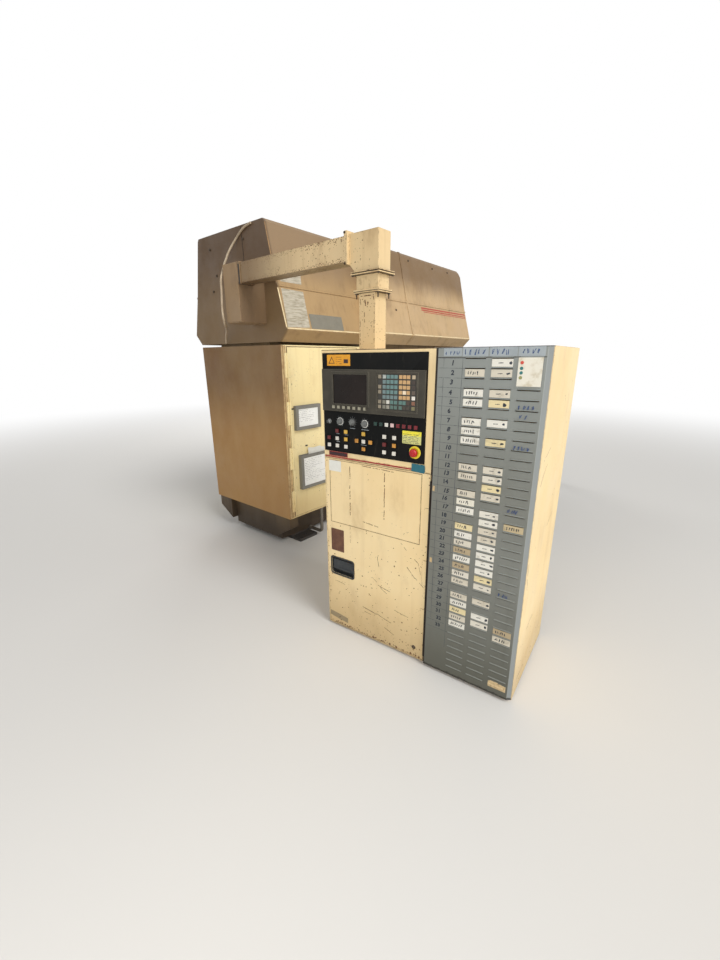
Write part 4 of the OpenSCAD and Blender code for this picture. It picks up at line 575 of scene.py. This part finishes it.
class Piece:
    """Collects closed small shapes, set by a place function, and makes one object of them."""

    def __init__(self, place=console):
        self.bm = bmesh.new()
        self.place = place

    def on(self, place):
        """Goes on in another place."""
        self.place = place
        return self

    def prism(self, outline, d0, d1, look=0):
        """A flat outline of (a, b) points, from depth d0 (outer) to d1 (inner)."""
        outer = [self.bm.verts.new(self.place(a, d0, b)) for a, b in outline]
        inner = [self.bm.verts.new(self.place(a, d1, b)) for a, b in outline]
        n = len(outline)
        faces = [self.bm.faces.new(outer), self.bm.faces.new(inner[::-1])]
        for i in range(n):
            faces.append(self.bm.faces.new((outer[i], inner[i], inner[(i + 1) % n], outer[(i + 1) % n])))
        for f in faces:
            f.material_index = look

    def plate(self, a0, a1, b0, b1, d0, d1, r=0.0, look=0):
        """A rectangle, with corners of radius r."""
        pts = [(a0, b0), (a1, b0), (a1, b1), (a0, b1)]
        if r:
            middles = ((a1 - r, b0 + r), (a1 - r, b1 - r), (a0 + r, b1 - r), (a0 + r, b0 + r))
            pts = [around(ca, cb, r, math.radians(90 * i - 90 + 22.5 * k))
                   for i, (ca, cb) in enumerate(middles) for k in range(5)]
        self.prism(pts, d0, d1, look)

    def bolt(self, a, b, r, base=0.0):
        """Washer and hexagon head, standing on the face."""
        ring = [around(a, b, 1.25 * r, k * math.pi / 8) for k in range(16)]
        self.prism(ring, base - 0.22 * r, base + 0.4)
        for d0, d1, q in ((-0.22 * r, -0.75 * r, 1.0), (-0.75 * r, -0.9 * r, 0.86)):
            hexa = [around(a, b, q * r, 0.3 + k * math.pi / 3) for k in range(6)]
            self.prism(hexa, base + d1, base + d0)

    def jagged(self, p, q, width, depth, fill, pitch, look=0, wander=0.5):
        """An uneven line from p to q, such as a scratch; fill is the part that is drawn."""
        dx, dz = q[0] - p[0], q[1] - p[1]
        length = math.hypot(dx, dz)
        ux, uz = dx / length, dz / length
        t = drift = 0.0
        while t < length:
            run = pitch * rng.uniform(0.5, 1.5)
            drift += rng.uniform(-wander, wander)
            if rng.random() < fill:
                e = min(t + run, length)
                pts = []
                for s, sign in ((t, 1), ((t + e) / 2, 1), (e, 1), (e, -1), ((t + e) / 2, -1), (t, -1)):
                    h = sign * width / 2 * rng.uniform(0.35, 1.25) + drift
                    pts.append((p[0] + ux * s - uz * h, p[1] + uz * s + ux * h))
                self.prism(pts[::-1], -depth, 0.05, look)
            t += run

    def fleck(self, a, b, size, depth, look=0):
        """A small uneven spot."""
        n = rng.choice((5, 6, 7))
        stretch = rng.uniform(0.5, 1.0)
        pts = []
        for k in range(n):
            t = 2 * math.pi * k / n
            r = size / 2 * rng.uniform(0.5, 1.15)
            pts.append((a + r * math.cos(t), b + r * stretch * math.sin(t)))
        self.prism(pts, -depth, 0.05, look)

    def text(self, words, a, b, size, d, lean, fat):
        """A plain number in a hand-lettered weight, centred on (a, b)."""
        curve = bpy.data.curves.new("digits", "FONT")
        curve.body, curve.size, curve.shear, curve.offset = words, size, lean, fat
        curve.align_x, curve.align_y, curve.resolution_u = "CENTER", "CENTER", 2
        holder = added("digits", curve)
        bpy.context.view_layer.update()
        mesh = holder.evaluated_get(bpy.context.evaluated_depsgraph_get()).to_mesh()
        made = [self.bm.verts.new(self.place(a + v.co.x, d, b + v.co.y)) for v in mesh.vertices]
        for f in mesh.polygons:
            self.bm.faces.new([made[i] for i in f.vertices])
        bpy.data.objects.remove(holder)
        bpy.data.curves.remove(curve)

    def turned(self, a, b, profile, n=20, look=0):
        """A turned shape around the face's normal: profile holds (radius, out)."""
        rings = []
        for r, out in profile:
            ring = [around(a, b, r, 2 * math.pi * k / n) for k in range(n)]
            rings.append([self.bm.verts.new(self.place(s, -out, z)) for s, z in ring])
        for lower, upper in zip(rings, rings[1:]):
            for k in range(n):
                f = self.bm.faces.new((lower[k], lower[(k + 1) % n], upper[(k + 1) % n], upper[k]))
                f.material_index = look
                f.smooth = True
        for ring in (rings[0], rings[-1]):
            self.bm.faces.new(ring).material_index = look

    def make(self, name, body, looks, bevel=0.0):
        """Closes the piece: one object that rides on the body, with its looks."""
        bmesh.ops.recalc_face_normals(self.bm, faces=[f for f in self.bm.faces if len(f.verts) > 2])
        mesh = bpy.data.meshes.new(name)
        self.bm.to_mesh(mesh)
        self.bm.free()
        for k in looks:
            mesh.materials.append(MAT[k])
        obj = added(name, mesh)
        if bevel:
            round_edges(obj, bevel, weld=False)
        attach(obj, body)


# --- console door: rust runs, scratches, plates, bolt
RUST = 0.22  # how far flecks of rust stand off the paint, in millimetres
p = Piece()
for a, b, w, fill, pitch in (((162, 994), (162, 712), 4.2, 0.75, 8), ((370, 983), (370, 742), 4.4, 0.8, 8),
                             ((236, 1000), (420, 994), 3.2, 0.75, 8), ((243, 702), (336, 694), 3.6, 0.85, 7),
                             ((262, 655), (266, 640), 3.5, 0.9, 5), ((160, 655), (160, 560), 1.6, 0.35, 8)):
    p.jagged(a, b, w, 0.25, fill, pitch)
for _ in range(330):
    z = 24 + 620 * rng.random() ** 1.9
    p.fleck(rng.uniform(14, 604), z, rng.choice((2.5, 4, 6, 9)) * rng.uniform(0.7, 1.2), RUST)
for _ in range(46):
    s = rng.choice((rng.uniform(8, 16), rng.uniform(600, 608)))
    p.fleck(s, rng.uniform(30, 1005), rng.uniform(3, 8), RUST)
for _ in range(70):
    p.fleck(rng.uniform(10, 608), rng.uniform(23, 34), rng.uniform(4, 14), RUST)
p.make("door_rust", "lower_door", ["rust"])
p = Piece()
for a, b, w in (((506, 522), (552, 474), 2.2), ((552, 474), (597, 436), 1.8), ((548, 573), (604, 525), 2.0),
                ((337, 364), (411, 348), 2.4), ((330, 537), (343, 472), 1.8), ((352, 352), (392, 330), 1.8),
                ((300, 398), (330, 380), 1.6), ((566, 560), (580, 500), 1.4), ((240, 196), (330, 182), 3.0),
                ((330, 186), (420, 160), 2.4), ((250, 170), (310, 166), 1.8), ((470, 640), (500, 610), 1.6),
                ((60, 300), (120, 296), 1.6), ((440, 250), (520, 236), 1.6), ((380, 120), (440, 96), 1.8)):
    p.jagged(a, b, 1.4 * w, 0.2, 0.92, 12, wander=0.9)
p.make("door_scratches", "lower_door", ["scratch"])
p = Piece()
p.plate(31, 117, 489, 620, -0.8, 0.2, 4)
p.plate(34, 114, 492, 617, -1.0, -0.7, 3)
p.plate(28, 106, 947, 1004, -0.5, 0.2, 3, 1)
p.prism([(60, 88), (136, 78), (136, 46), (70, 52), (9, 62), (9, 92)], -0.2, 0.1, 2)
p.make("door_plates", "lower_door", ["brown", "white", "bare"], 0.3)
p = Piece()
p.turned(558, 75, [(11, 0), (11, 1.5), (9, 2.6), (6.5, 3.0), (6, 5.5), (4.5, 7.0), (0.8, 7.2)])
p.make("door_bolt", "lower_door", ["bolt"])

# --- painted shade in the console's gaps, seams of its door and of the cabinet
LOUVRE_FACE = -14.0  # depth of the louvred panel's face
# dark strips in the gap beside the louvred panel and under the console's top: painted shade
p = Piece()
p.plate(613.2, 617.8, 1030, 1551, -0.9, 0.4)
p.plate(622.5, 1056, 1549.5, 1551.8, LOUVRE_FACE - 0.4, LOUVRE_FACE + 0.3)
p.make("console_gap_shade", "machine", ["dark"])
p = Piece()
for s0, s1, z0, z1 in ((32, 568, 1006.6, 1008.6), (32, 568, 658, 660), (31, 33, 658, 1008.6),
                       (567, 569, 658, 1008.6)):
    p.plate(s0, s1, z0, z1, -0.15, 0.4)
p.make("hatch_seam", "lower_door", ["seam"])
p = Piece(SIDE)
for x0, x1, z0, z1, out, look in ((49.5, 57.5, 290, 1597, 0.6, 0), (57.5, 832, 1592.5, 1597, 0.6, 0),
                                  (830.5, 835, 290, 1597, 0.6, 0), (3, 17, 286, 1603, 0.8, 1),
                                  (17, 24, 286, 1603, 0.5, 2), (27, 44, 286, 1603, 0.8, 1)):
    p.plate(x0, x1, z0, z1, -out, 0.3, 0, look)
p.make("cabinet_seams", "machine", ["seam", "post_edge", "brown_edge"], 0.15)

# --- console front: stickers, trim line, tape
p = Piece()
p.plate(37, 176, 1478, 1529, -4.7, -3.9, 1.5)
p.plate(464, 559, 1141, 1199, -4.6, -3.9, 1.5, 1)
p.plate(33, 152, 1031, 1054, -3.6, -2.6, 1.0, 2)
p.plate(37, 148, 1034, 1051, -3.9, -3.5, 0.6, 3)
p.plate(7, 33, 1021.5, 1028.5, -3.4, -2.8, 0, 2)
p.plate(33, 513, 1021.5, 1028.5, -3.4, -2.8, 0, 2)
p.prism([(514, 1018), (578, 1013), (583, 1022), (581, 1052), (516, 1053)], -4.6, -2.9, 4)
p.make("panel_stickers", "machine", ["orange", "notice", "redline", "maroon", "teal"], 0.2)
p = Piece()
for s, z in KNOBS:  # ticks of the dials
    for k in range(11):
        a, b = (around(s, z, r, math.radians(30 * k - 60)) for r in (22, 25.5))
        p.jagged(a, b, 1.2, 4.15, UNBROKEN, 4, wander=0.0)
for s0, s1, z in ((170, 200, 1182), (238, 282, 1181), (84, 104, 1147), (84, 106, 1107), (236, 268, 1106),
                  (136, 158, 1146)):
    p.plate(s0, s1, z, z + 2.0, -4.2, -4.0)
for k in range(6):  # bars on the instruction label
    z = 1184 - 7.5 * k
    p.jagged((468, z), (555 - rng.uniform(0, 18), z), 2.6, 4.7, 0.75, 5, 1, 0.0)
for k in range(4):  # bars and a plain triangle on the orange sticker
    z = 1518 - 10 * k
    p.jagged((92, z), (126, z), 2.4, 4.8, 0.85, 6, 2, 0.0)
p.plate(138, 164, 1490, 1508, -4.8, -4.6, 1.0, 3)
p.prism([(46, 1488), (84, 1488), (66, 1521)], -4.8, -4.6, 3)
p.prism([(52, 1491), (79, 1491), (66, 1514)], -4.95, -4.75, 4)
p.make("panel_marks", "machine", ["tape", "rule", "brown", "maroon", "orange"])

# --- louvred panel: ruled lines, numbers, header tapes, chips, blue strokes on tapes and strips
p = Piece()
for s, low in ((652, 300), (731, 160)):
    p.jagged((s, 1512), (s - 2, low), 1.7, -LOUVRE_FACE + 0.12, 0.96, 30, wander=0.15)
for i in range(NUMBERED + 1):
    z = FIRST_ROW - ROW_PITCH * i + 2
    p.jagged((632 if i % 3 else 628, z + 1), (741, z), 1.6, -LOUVRE_FACE + 0.12, 0.93, 16, wander=0.15)
p.make("ruled_lines", "machine", ["rule"])
p = Piece()
for i in range(NUMBERED):
    s, z = 688 + rng.uniform(-3, 3), FIRST_ROW - 16 - ROW_PITCH * i + rng.uniform(-2, 2)
    p.text(str(i + 1), s, z, 26 + rng.uniform(-1, 1), LOUVRE_FACE - 0.2, rng.uniform(-0.05, 0.3), 1.1)
p.make("station_numbers", "machine", ["ink"])
p = Piece()
p.plate(650, 725, 1519, 1549, LOUVRE_FACE - 0.4, LOUVRE_FACE + 0.1, 0, 1)
for s0, s1 in ((729, 830), (835, 937), (940, 1032)):
    p.plate(s0, s1, 1517, 1550, LOUVRE_FACE - 0.45, LOUVRE_FACE + 0.1, 0, 1)
p.prism([(628, 946), (638, 944), (639, 968), (629, 970)], LOUVRE_FACE - 0.2, LOUVRE_FACE + 0.1, 2)
p.prism([(630, 596), (642, 594), (642, 618), (631, 620)], LOUVRE_FACE - 0.2, LOUVRE_FACE + 0.1, 2)
p.plate(624, 1038, 1512.5, 1515, LOUVRE_FACE - 0.3, LOUVRE_FACE + 0.1)
p.make("header_tapes", "machine", ["dark", "tape", "worn"], 0.15)
p = Piece()
for s0, s1, z, h in ((656, 722, 1530, 7), (738, 824, 1533, 12), (842, 915, 1533, 12), (952, 1018, 1534, 9),
                     (955, 1025, 1333, 8), (962, 1004, 1298, 8), (953, 1020, 1178, 9), (958, 1004, 920, 9),
                     (956, 1002, 535, 9)):
    n = int((s1 - s0) / 15)
    out = -LOUVRE_FACE + (0.6 if z > FIRST_ROW else 2.7)  # on the tapes above the slots, on the strips below
    for k in range(n):
        for _ in range(2):
            s = s0 + (s1 - s0) * k / n + rng.uniform(0, 7)
            low = (s, z - h * rng.uniform(0.5, 1))
            p.jagged(low, (s + rng.uniform(-3, 8), z + h * rng.uniform(0.4, 1)), 3.0, out, UNBROKEN, 8, 0, 0.1)
p.make("blue_strokes", "machine", ["blue_ink"])

# --- console's right side: scratches and chipped corner
FLANK = face(console(1058, 0, 0), CONSOLE.to_3x3() @ Vector((0, 1, 0)), (0, 0, 1))
p = Piece(FLANK)
for a, b, w in (((40, 1010), (96, 1066), 3.4), ((96, 1066), (140, 1094), 2.0), ((60, 1124), (170, 1160), 1.6),
                ((30, 620), (44, 560), 3.0), ((20, 700), (22, 640), 3.0), ((150, 300), (260, 330), 1.8),
                ((330, 760), (420, 800), 1.6), ((60, 90), (180, 84), 2.4)):
    p.jagged(a, b, w, 0.2, 0.92, 12, wander=0.8)
for _ in range(70):
    p.fleck(rng.uniform(4, 570), 18 + 300 * rng.random() ** 2, rng.uniform(2, 6), RUST)
p.make("flank_scratches", "machine", ["scratch"])

# --- generic marks on the strips and coloured dots on the card
ON_STRIP = 15.45  # how far the marks stand off the console's front
# rows that hold a marked strip, column by column
LABEL_ROWS = [
    [2, 4, 5, 7, 8, 9, 12, 13, 15, 16, 17, 19, 20, 21, 22, 23, 24, 25, 26, 28, 29, 30, 31, 32],
    [1, 2, 4, 5, 7, 9, 12, 13, 14, 15, 17, 18, 19, 20, 21, 22, 23, 24, 25, 26, 28, 30, 31],
    [18, 31, 32],
]
p = Piece()
for c, rows in enumerate(LABEL_ROWS):
    for row in rows:
        s0, z0 = FIRST_COLUMN + COLUMN_PITCH * c, FIRST_ROW - ROW_PITCH * row + 23.5
        if c == 1:
            s = s0 + rng.choice((62, 66, 70, 66))
            p.fleck(s, z0 + rng.uniform(-2, 2), rng.uniform(14, 19), ON_STRIP)
            p.jagged((s0 + 26, z0 - 1), (s0 + 44, z0), 3.2, ON_STRIP, UNBROKEN, 7)
        else:
            for k in range(rng.choice((4, 5, 5, 6))):
                s = s0 + 14 + 9.5 * k
                low = (s, z0 - rng.uniform(4, 8))
                p.jagged(low, (s + rng.uniform(-3, 5), z0 + rng.uniform(3, 8)), 4.2, ON_STRIP, UNBROKEN, 6)
p.make("strip_marks", "machine", ["ink"])
p = Piece()
for k, (ds, z) in enumerate(((0, 1494), (0, 1474), (0, 1458), (-1, 1441))):
    p.turned(957 + ds, z, [(6.2, 18.6), (6.2, 19.3), (5.4, 19.5)], 14, k)
p.make("card_dots", "machine", ["button_red", "teal_dot", "teal_dot", "olive_dot"])

# --- cabinet door: papers with plain lines in the document boxes, pale strip, clips, rust
LINE_PITCH = 14
p = Piece(SIDE)
for x0, x1, z0, z1, d in ((112, 328, 1005, 1150, 23.9), (140, 408, 528, 765, 27.9)):
    p.prism([(x0, z0 + 2), (x1 - 4, z0), (x1, z1 - 3), (x0 + 3, z1)], -d, -d + 0.3)
for x0, x1, z0, z1, d in ((122, 300, 1030, 1134, 24.0), (156, 384, 560, 742, 28.0)):
    for k in range(int((z1 - z0) / LINE_PITCH)):
        z = z1 - LINE_PITCH * k
        p.jagged((x0, z), (x0 + (x1 - x0) * rng.uniform(0.45, 1.0), z), 1.8, d, 0.7, 9, 1, 0.1)
p.make("pocket_papers", "side_door", ["paper", "rule"])
p = Piece(SIDE)
p.prism([(212, 766), (416, 766), (419, 812), (355, 820), (345, 831), (265, 827), (207, 836)], -16.0, -15.7)
for x, z in ((82, 1149), (206, 850), (76, 1330), (74, 610)):
    p.plate(x - 11, x + 11, z - 5, z + 5, -3.0, 0.3, 1.5, 1)
for _ in range(60):
    x = rng.choice((rng.uniform(64, 76), rng.uniform(76, 800)))
    p.fleck(x, 300 + 1280 * rng.random(), rng.uniform(2, 6), 0.25, 2)
p.make("door_bits", "side_door", ["white", "dark", "rust"])

# --- hood end face: cover panel seam, bolts, cable
p = Piece(END)
for a, b in (((-354, 2404), (-345, 2262)), ((-345, 2262), (-345, 2170))):
    p.jagged(a, b, 4.5, 1.2, UNBROKEN, 30, look=1, wander=0.0)
for a, b in ((-762, 2314), (-701, 2126), (-764, 2019), (-335, 2320)):
    p.bolt(a, b, 8)
p.make("end_face_fixings", "machine", ["bolt", "dark"])
curve = bpy.data.curves.new("end_face_cable", "CURVE")
curve.dimensions = "3D"
curve.bevel_depth = 0.0075  # the cable's radius in metres
curve.bevel_resolution = 3
curve.use_fill_caps = True
spline = curve.splines.new("BEZIER")
# y, z and how far it stands off the hood's end face
route = [(226, 2400, 9), (312, 2382, 9), (403, 2329, 12), (442, 2266, 40), (398, 2185, 110), (326, 2100, 190),
         (312, 2025, 224), (316, 1964, 224), (323, 1902, 224), (328, 1825, 224), (326, 1766, 220), (440, 1722, 130),
         (590, 1668, 44), (635, 1632, 16)]
spline.bezier_points.add(len(route) - 1)
for bp, (y, z, out) in zip(spline.bezier_points, route):
    bp.co = press(-out, y, z)
    bp.handle_left_type = bp.handle_right_type = "AUTO"
cable = added("end_face_cable", curve)
curve.materials.append(MAT["cable"])
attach(cable, "machine")

# --- hood sides: placards, plate, rims with painted highlights, bolts, stripes
p = Piece(REAR_LOW)
p.prism([(17, 4), (228, 9), (237, 265), (35, 269)], -0.8, 0.3)
p.on(REAR_HIGH).prism([(43, 20), (236, 20), (245, 104), (52, 102)], -0.8, 0.2)
p.on(REAR_LOW).plate(245, 596, 4, 110, -1.6, 0.3, 3, 1)
p.make("hood_placards", "machine", ["faded", "plate"], 0.3)
# pale strips along the sheets' rolled edges: painted highlights; a brown strip on the upper sheet's edge
p = Piece(REAR_LOW)
p.plate(1, 12, 2, 268, -0.7, 0.3)
p.plate(12, 898, -7, 1, -0.7, 0.3)
p.on(REAR_HIGH).plate(1, 9, 14, 396, -0.5, 0.3, 0, 1)
p.on(HEAD_LOW).plate(904, 2536, -7, 1, -0.7, 0.3)
p.make("hood_rims", "machine", ["pale_edge", "brown_edge"], 0.2)
p = Piece(HEAD_HIGH)
for x, up in ((1500, 368), (1931, 363), (2242, 369)):
    p.bolt(x, up, 7)
p.on(HEAD_LOW).bolt(1171, 202, 7)
p.make("hood_bolts", "machine", ["bolt"])
p = Piece(HEAD_LOW)
for corners in ([(1606, 250), (2525, 248), (2525, 262), (1606, 264)],
                [(1606, 232), (2525, 228), (2525, 238), (1606, 244)],
                [(1640, 218), (2525, 214), (2525, 220), (1640, 224)]):
    p.prism(corners, -0.7, 0.3)
p.make("hood_stripes", "machine", ["stripe"])

# --- duct: rust flecks, flange bolts
ARM = face(press(-205, 0, 0), (0, -1, 0), (0, 0, 1))
NEAR = face(press(0, -995, 0), (1, 0, 0), (0, 0, 1))
RISER = face(press(-202, 0, 0), (0, -1, 0), (0, 0, 1))
DUCT_RUST = 0.25
p = Piece(ARM)
for _ in range(420):
    y = rng.uniform(-800, 120)
    z = rng.choice((rng.uniform(1993, 2010), rng.uniform(2090, 2110), rng.uniform(1996, 2108)))
    p.fleck(-y, z, rng.uniform(2, 7) * (1.3 if y < -500 else 0.8), DUCT_RUST)
p.on(RISER)
for _ in range(40):
    p.fleck(rng.uniform(893, 993), 1560 + 270 * rng.random() ** 0.6, rng.uniform(2, 7), DUCT_RUST)
for a, b, w in (((902, 1818), (988, 1818), 5), ((900, 1806), (902, 1776), 4), ((930, 1800), (934, 1770), 7),
                ((950, 1790), (946, 1764), 9), ((986, 1812), (988, 1792), 6), ((990, 1780), (991, 1570), 3),
                ((926, 1740), (928, 1690), 4), ((898, 1700), (899, 1580), 3)):
    p.jagged(a, b, w, 0.3, 0.7, 9)
p.on(NEAR)
for _ in range(30):
    p.fleck(rng.uniform(-199, -110), rng.uniform(1560, 1830), rng.uniform(2, 6), DUCT_RUST)
p.make("duct_rust", "machine", ["rust"])
UPPER_FLANGE, LOWER_FLANGE = (face(press(0, 0, z), (0, 1, 0), (1, 0, 0)) for z in (1918, 1832))  # their undersides
p = Piece(UPPER_FLANGE)
for x, y in ((-214, -1026), (-214, -860), (-95, -1026), (-95, -860)):
    p.bolt(y, x, 6)
p.on(LOWER_FLANGE)
for x, y in ((-200, -1013), (-200, -873), (-109, -1013), (-109, -873)):
    p.bolt(y, x, 6.5)
    p.turned(y, x, [(3.6, 0), (3.6, 24), (2.8, 25.5)], 10)
p.on(ARM)
for z in (2122, 1980):
    p.bolt(814, z, 5, base=-17.6)
p.make("flange_bolts", "machine", ["bolt"])

# ---------------------------------------------------------------- floor, light, background
floor_mesh = bpy.data.meshes.new("floor")
bm = bmesh.new()
bmesh.ops.create_circle(bm, cap_ends=True, segments=96, radius=60)
bm.to_mesh(floor_mesh)
bm.free()
floor = added("floor", floor_mesh)
# a plain floor; far from the machine it fades to the white of the background, for the camera alone
mat = bpy.data.materials.new("floor")
mat.use_nodes = True
tree = mat.node_tree
link = tree.links.new
cover = tree.nodes["Principled BSDF"]
cover.inputs["Roughness"].default_value = 0.85
cover.inputs["Base Color"].default_value = lin((214, 212, 208))
far = new_node(tree, "ShaderNodeMapRange", interpolation_type="SMOOTHSTEP")
for i, v in enumerate((4.0, 12.0, 0.0, 1.0), 1):
    far.inputs[i].default_value = v
length = new_node(tree, "ShaderNodeVectorMath", operation="LENGTH")
seen = new_node(tree, "ShaderNodeMath", operation="MULTIPLY")
glow = new_node(tree, "ShaderNodeEmission")
glow.inputs["Color"].default_value = (1, 1, 1, 1)
blend = new_node(tree, "ShaderNodeMixShader")
link(new_node(tree, "ShaderNodeTexCoord").outputs["Object"], length.inputs[0])
link(length.outputs["Value"], far.inputs[0])
link(far.outputs[0], seen.inputs[0])
link(new_node(tree, "ShaderNodeLightPath").outputs["Is Camera Ray"], seen.inputs[1])
for i, source in enumerate((seen, cover, glow)):
    link(source.outputs[0], blend.inputs[i])
link(blend.outputs[0], tree.nodes["Material Output"].inputs["Surface"])
floor_mesh.materials.append(mat)

# white where it is seen straight, mirrored or through glass, and weaker as a light
world = bpy.data.worlds.new("studio")
scene.world = world
world.use_nodes = True
tree = world.node_tree
link = tree.links.new
back = tree.nodes["Background"]
rays = new_node(tree, "ShaderNodeLightPath").outputs
direct = new_node(tree, "ShaderNodeMath", operation="MAXIMUM")
shown = new_node(tree, "ShaderNodeMath", operation="MAXIMUM")
link(rays["Is Camera Ray"], direct.inputs[0])
link(rays["Is Glossy Ray"], direct.inputs[1])
link(direct.outputs[0], shown.inputs[0])
link(rays["Is Transmission Ray"], shown.inputs[1])
level = new_node(tree, "ShaderNodeMapRange")
level.inputs[3].default_value = 0.4
level.inputs[4].default_value = 1.0
link(shown.outputs[0], level.inputs[0])
link(level.outputs[0], back.inputs["Strength"])
back.inputs["Color"].default_value = (1, 1, 1, 1)


def area(name, place, target, size, power, colour=(1, 1, 1)):
    lamp = bpy.data.lights.new(name, "AREA")
    lamp.shape, lamp.size, lamp.size_y = "RECTANGLE", size[0], size[1]
    lamp.energy, lamp.color = power, colour
    obj = added(name, lamp)
    obj.location = place
    obj.rotation_euler = (Vector(target) - Vector(place)).to_track_quat("-Z", "Y").to_euler()


sun = added("sun", bpy.data.lights.new("sun", "SUN"))
sun.data.energy, sun.data.angle = 1.75, math.radians(28)
sun.rotation_euler = Vector((0.12, 0.85, -0.78)).to_track_quat("-Z", "Y").to_euler()
area("key", (-1.4, -6.4, 2.6), (-0.7, -0.9, 0.9), (3.2, 2.4), 58, (1.0, 0.98, 0.94))
area("front", (-4.1, -2.7, 1.7), (-1.75, -1.9, 0.8), (1.5, 1.5), 30, (1.0, 0.98, 0.95))
area("far", (5.5, 5.5, 4.5), (0.6, 0.5, 1.0), (4.0, 4.0), 220)
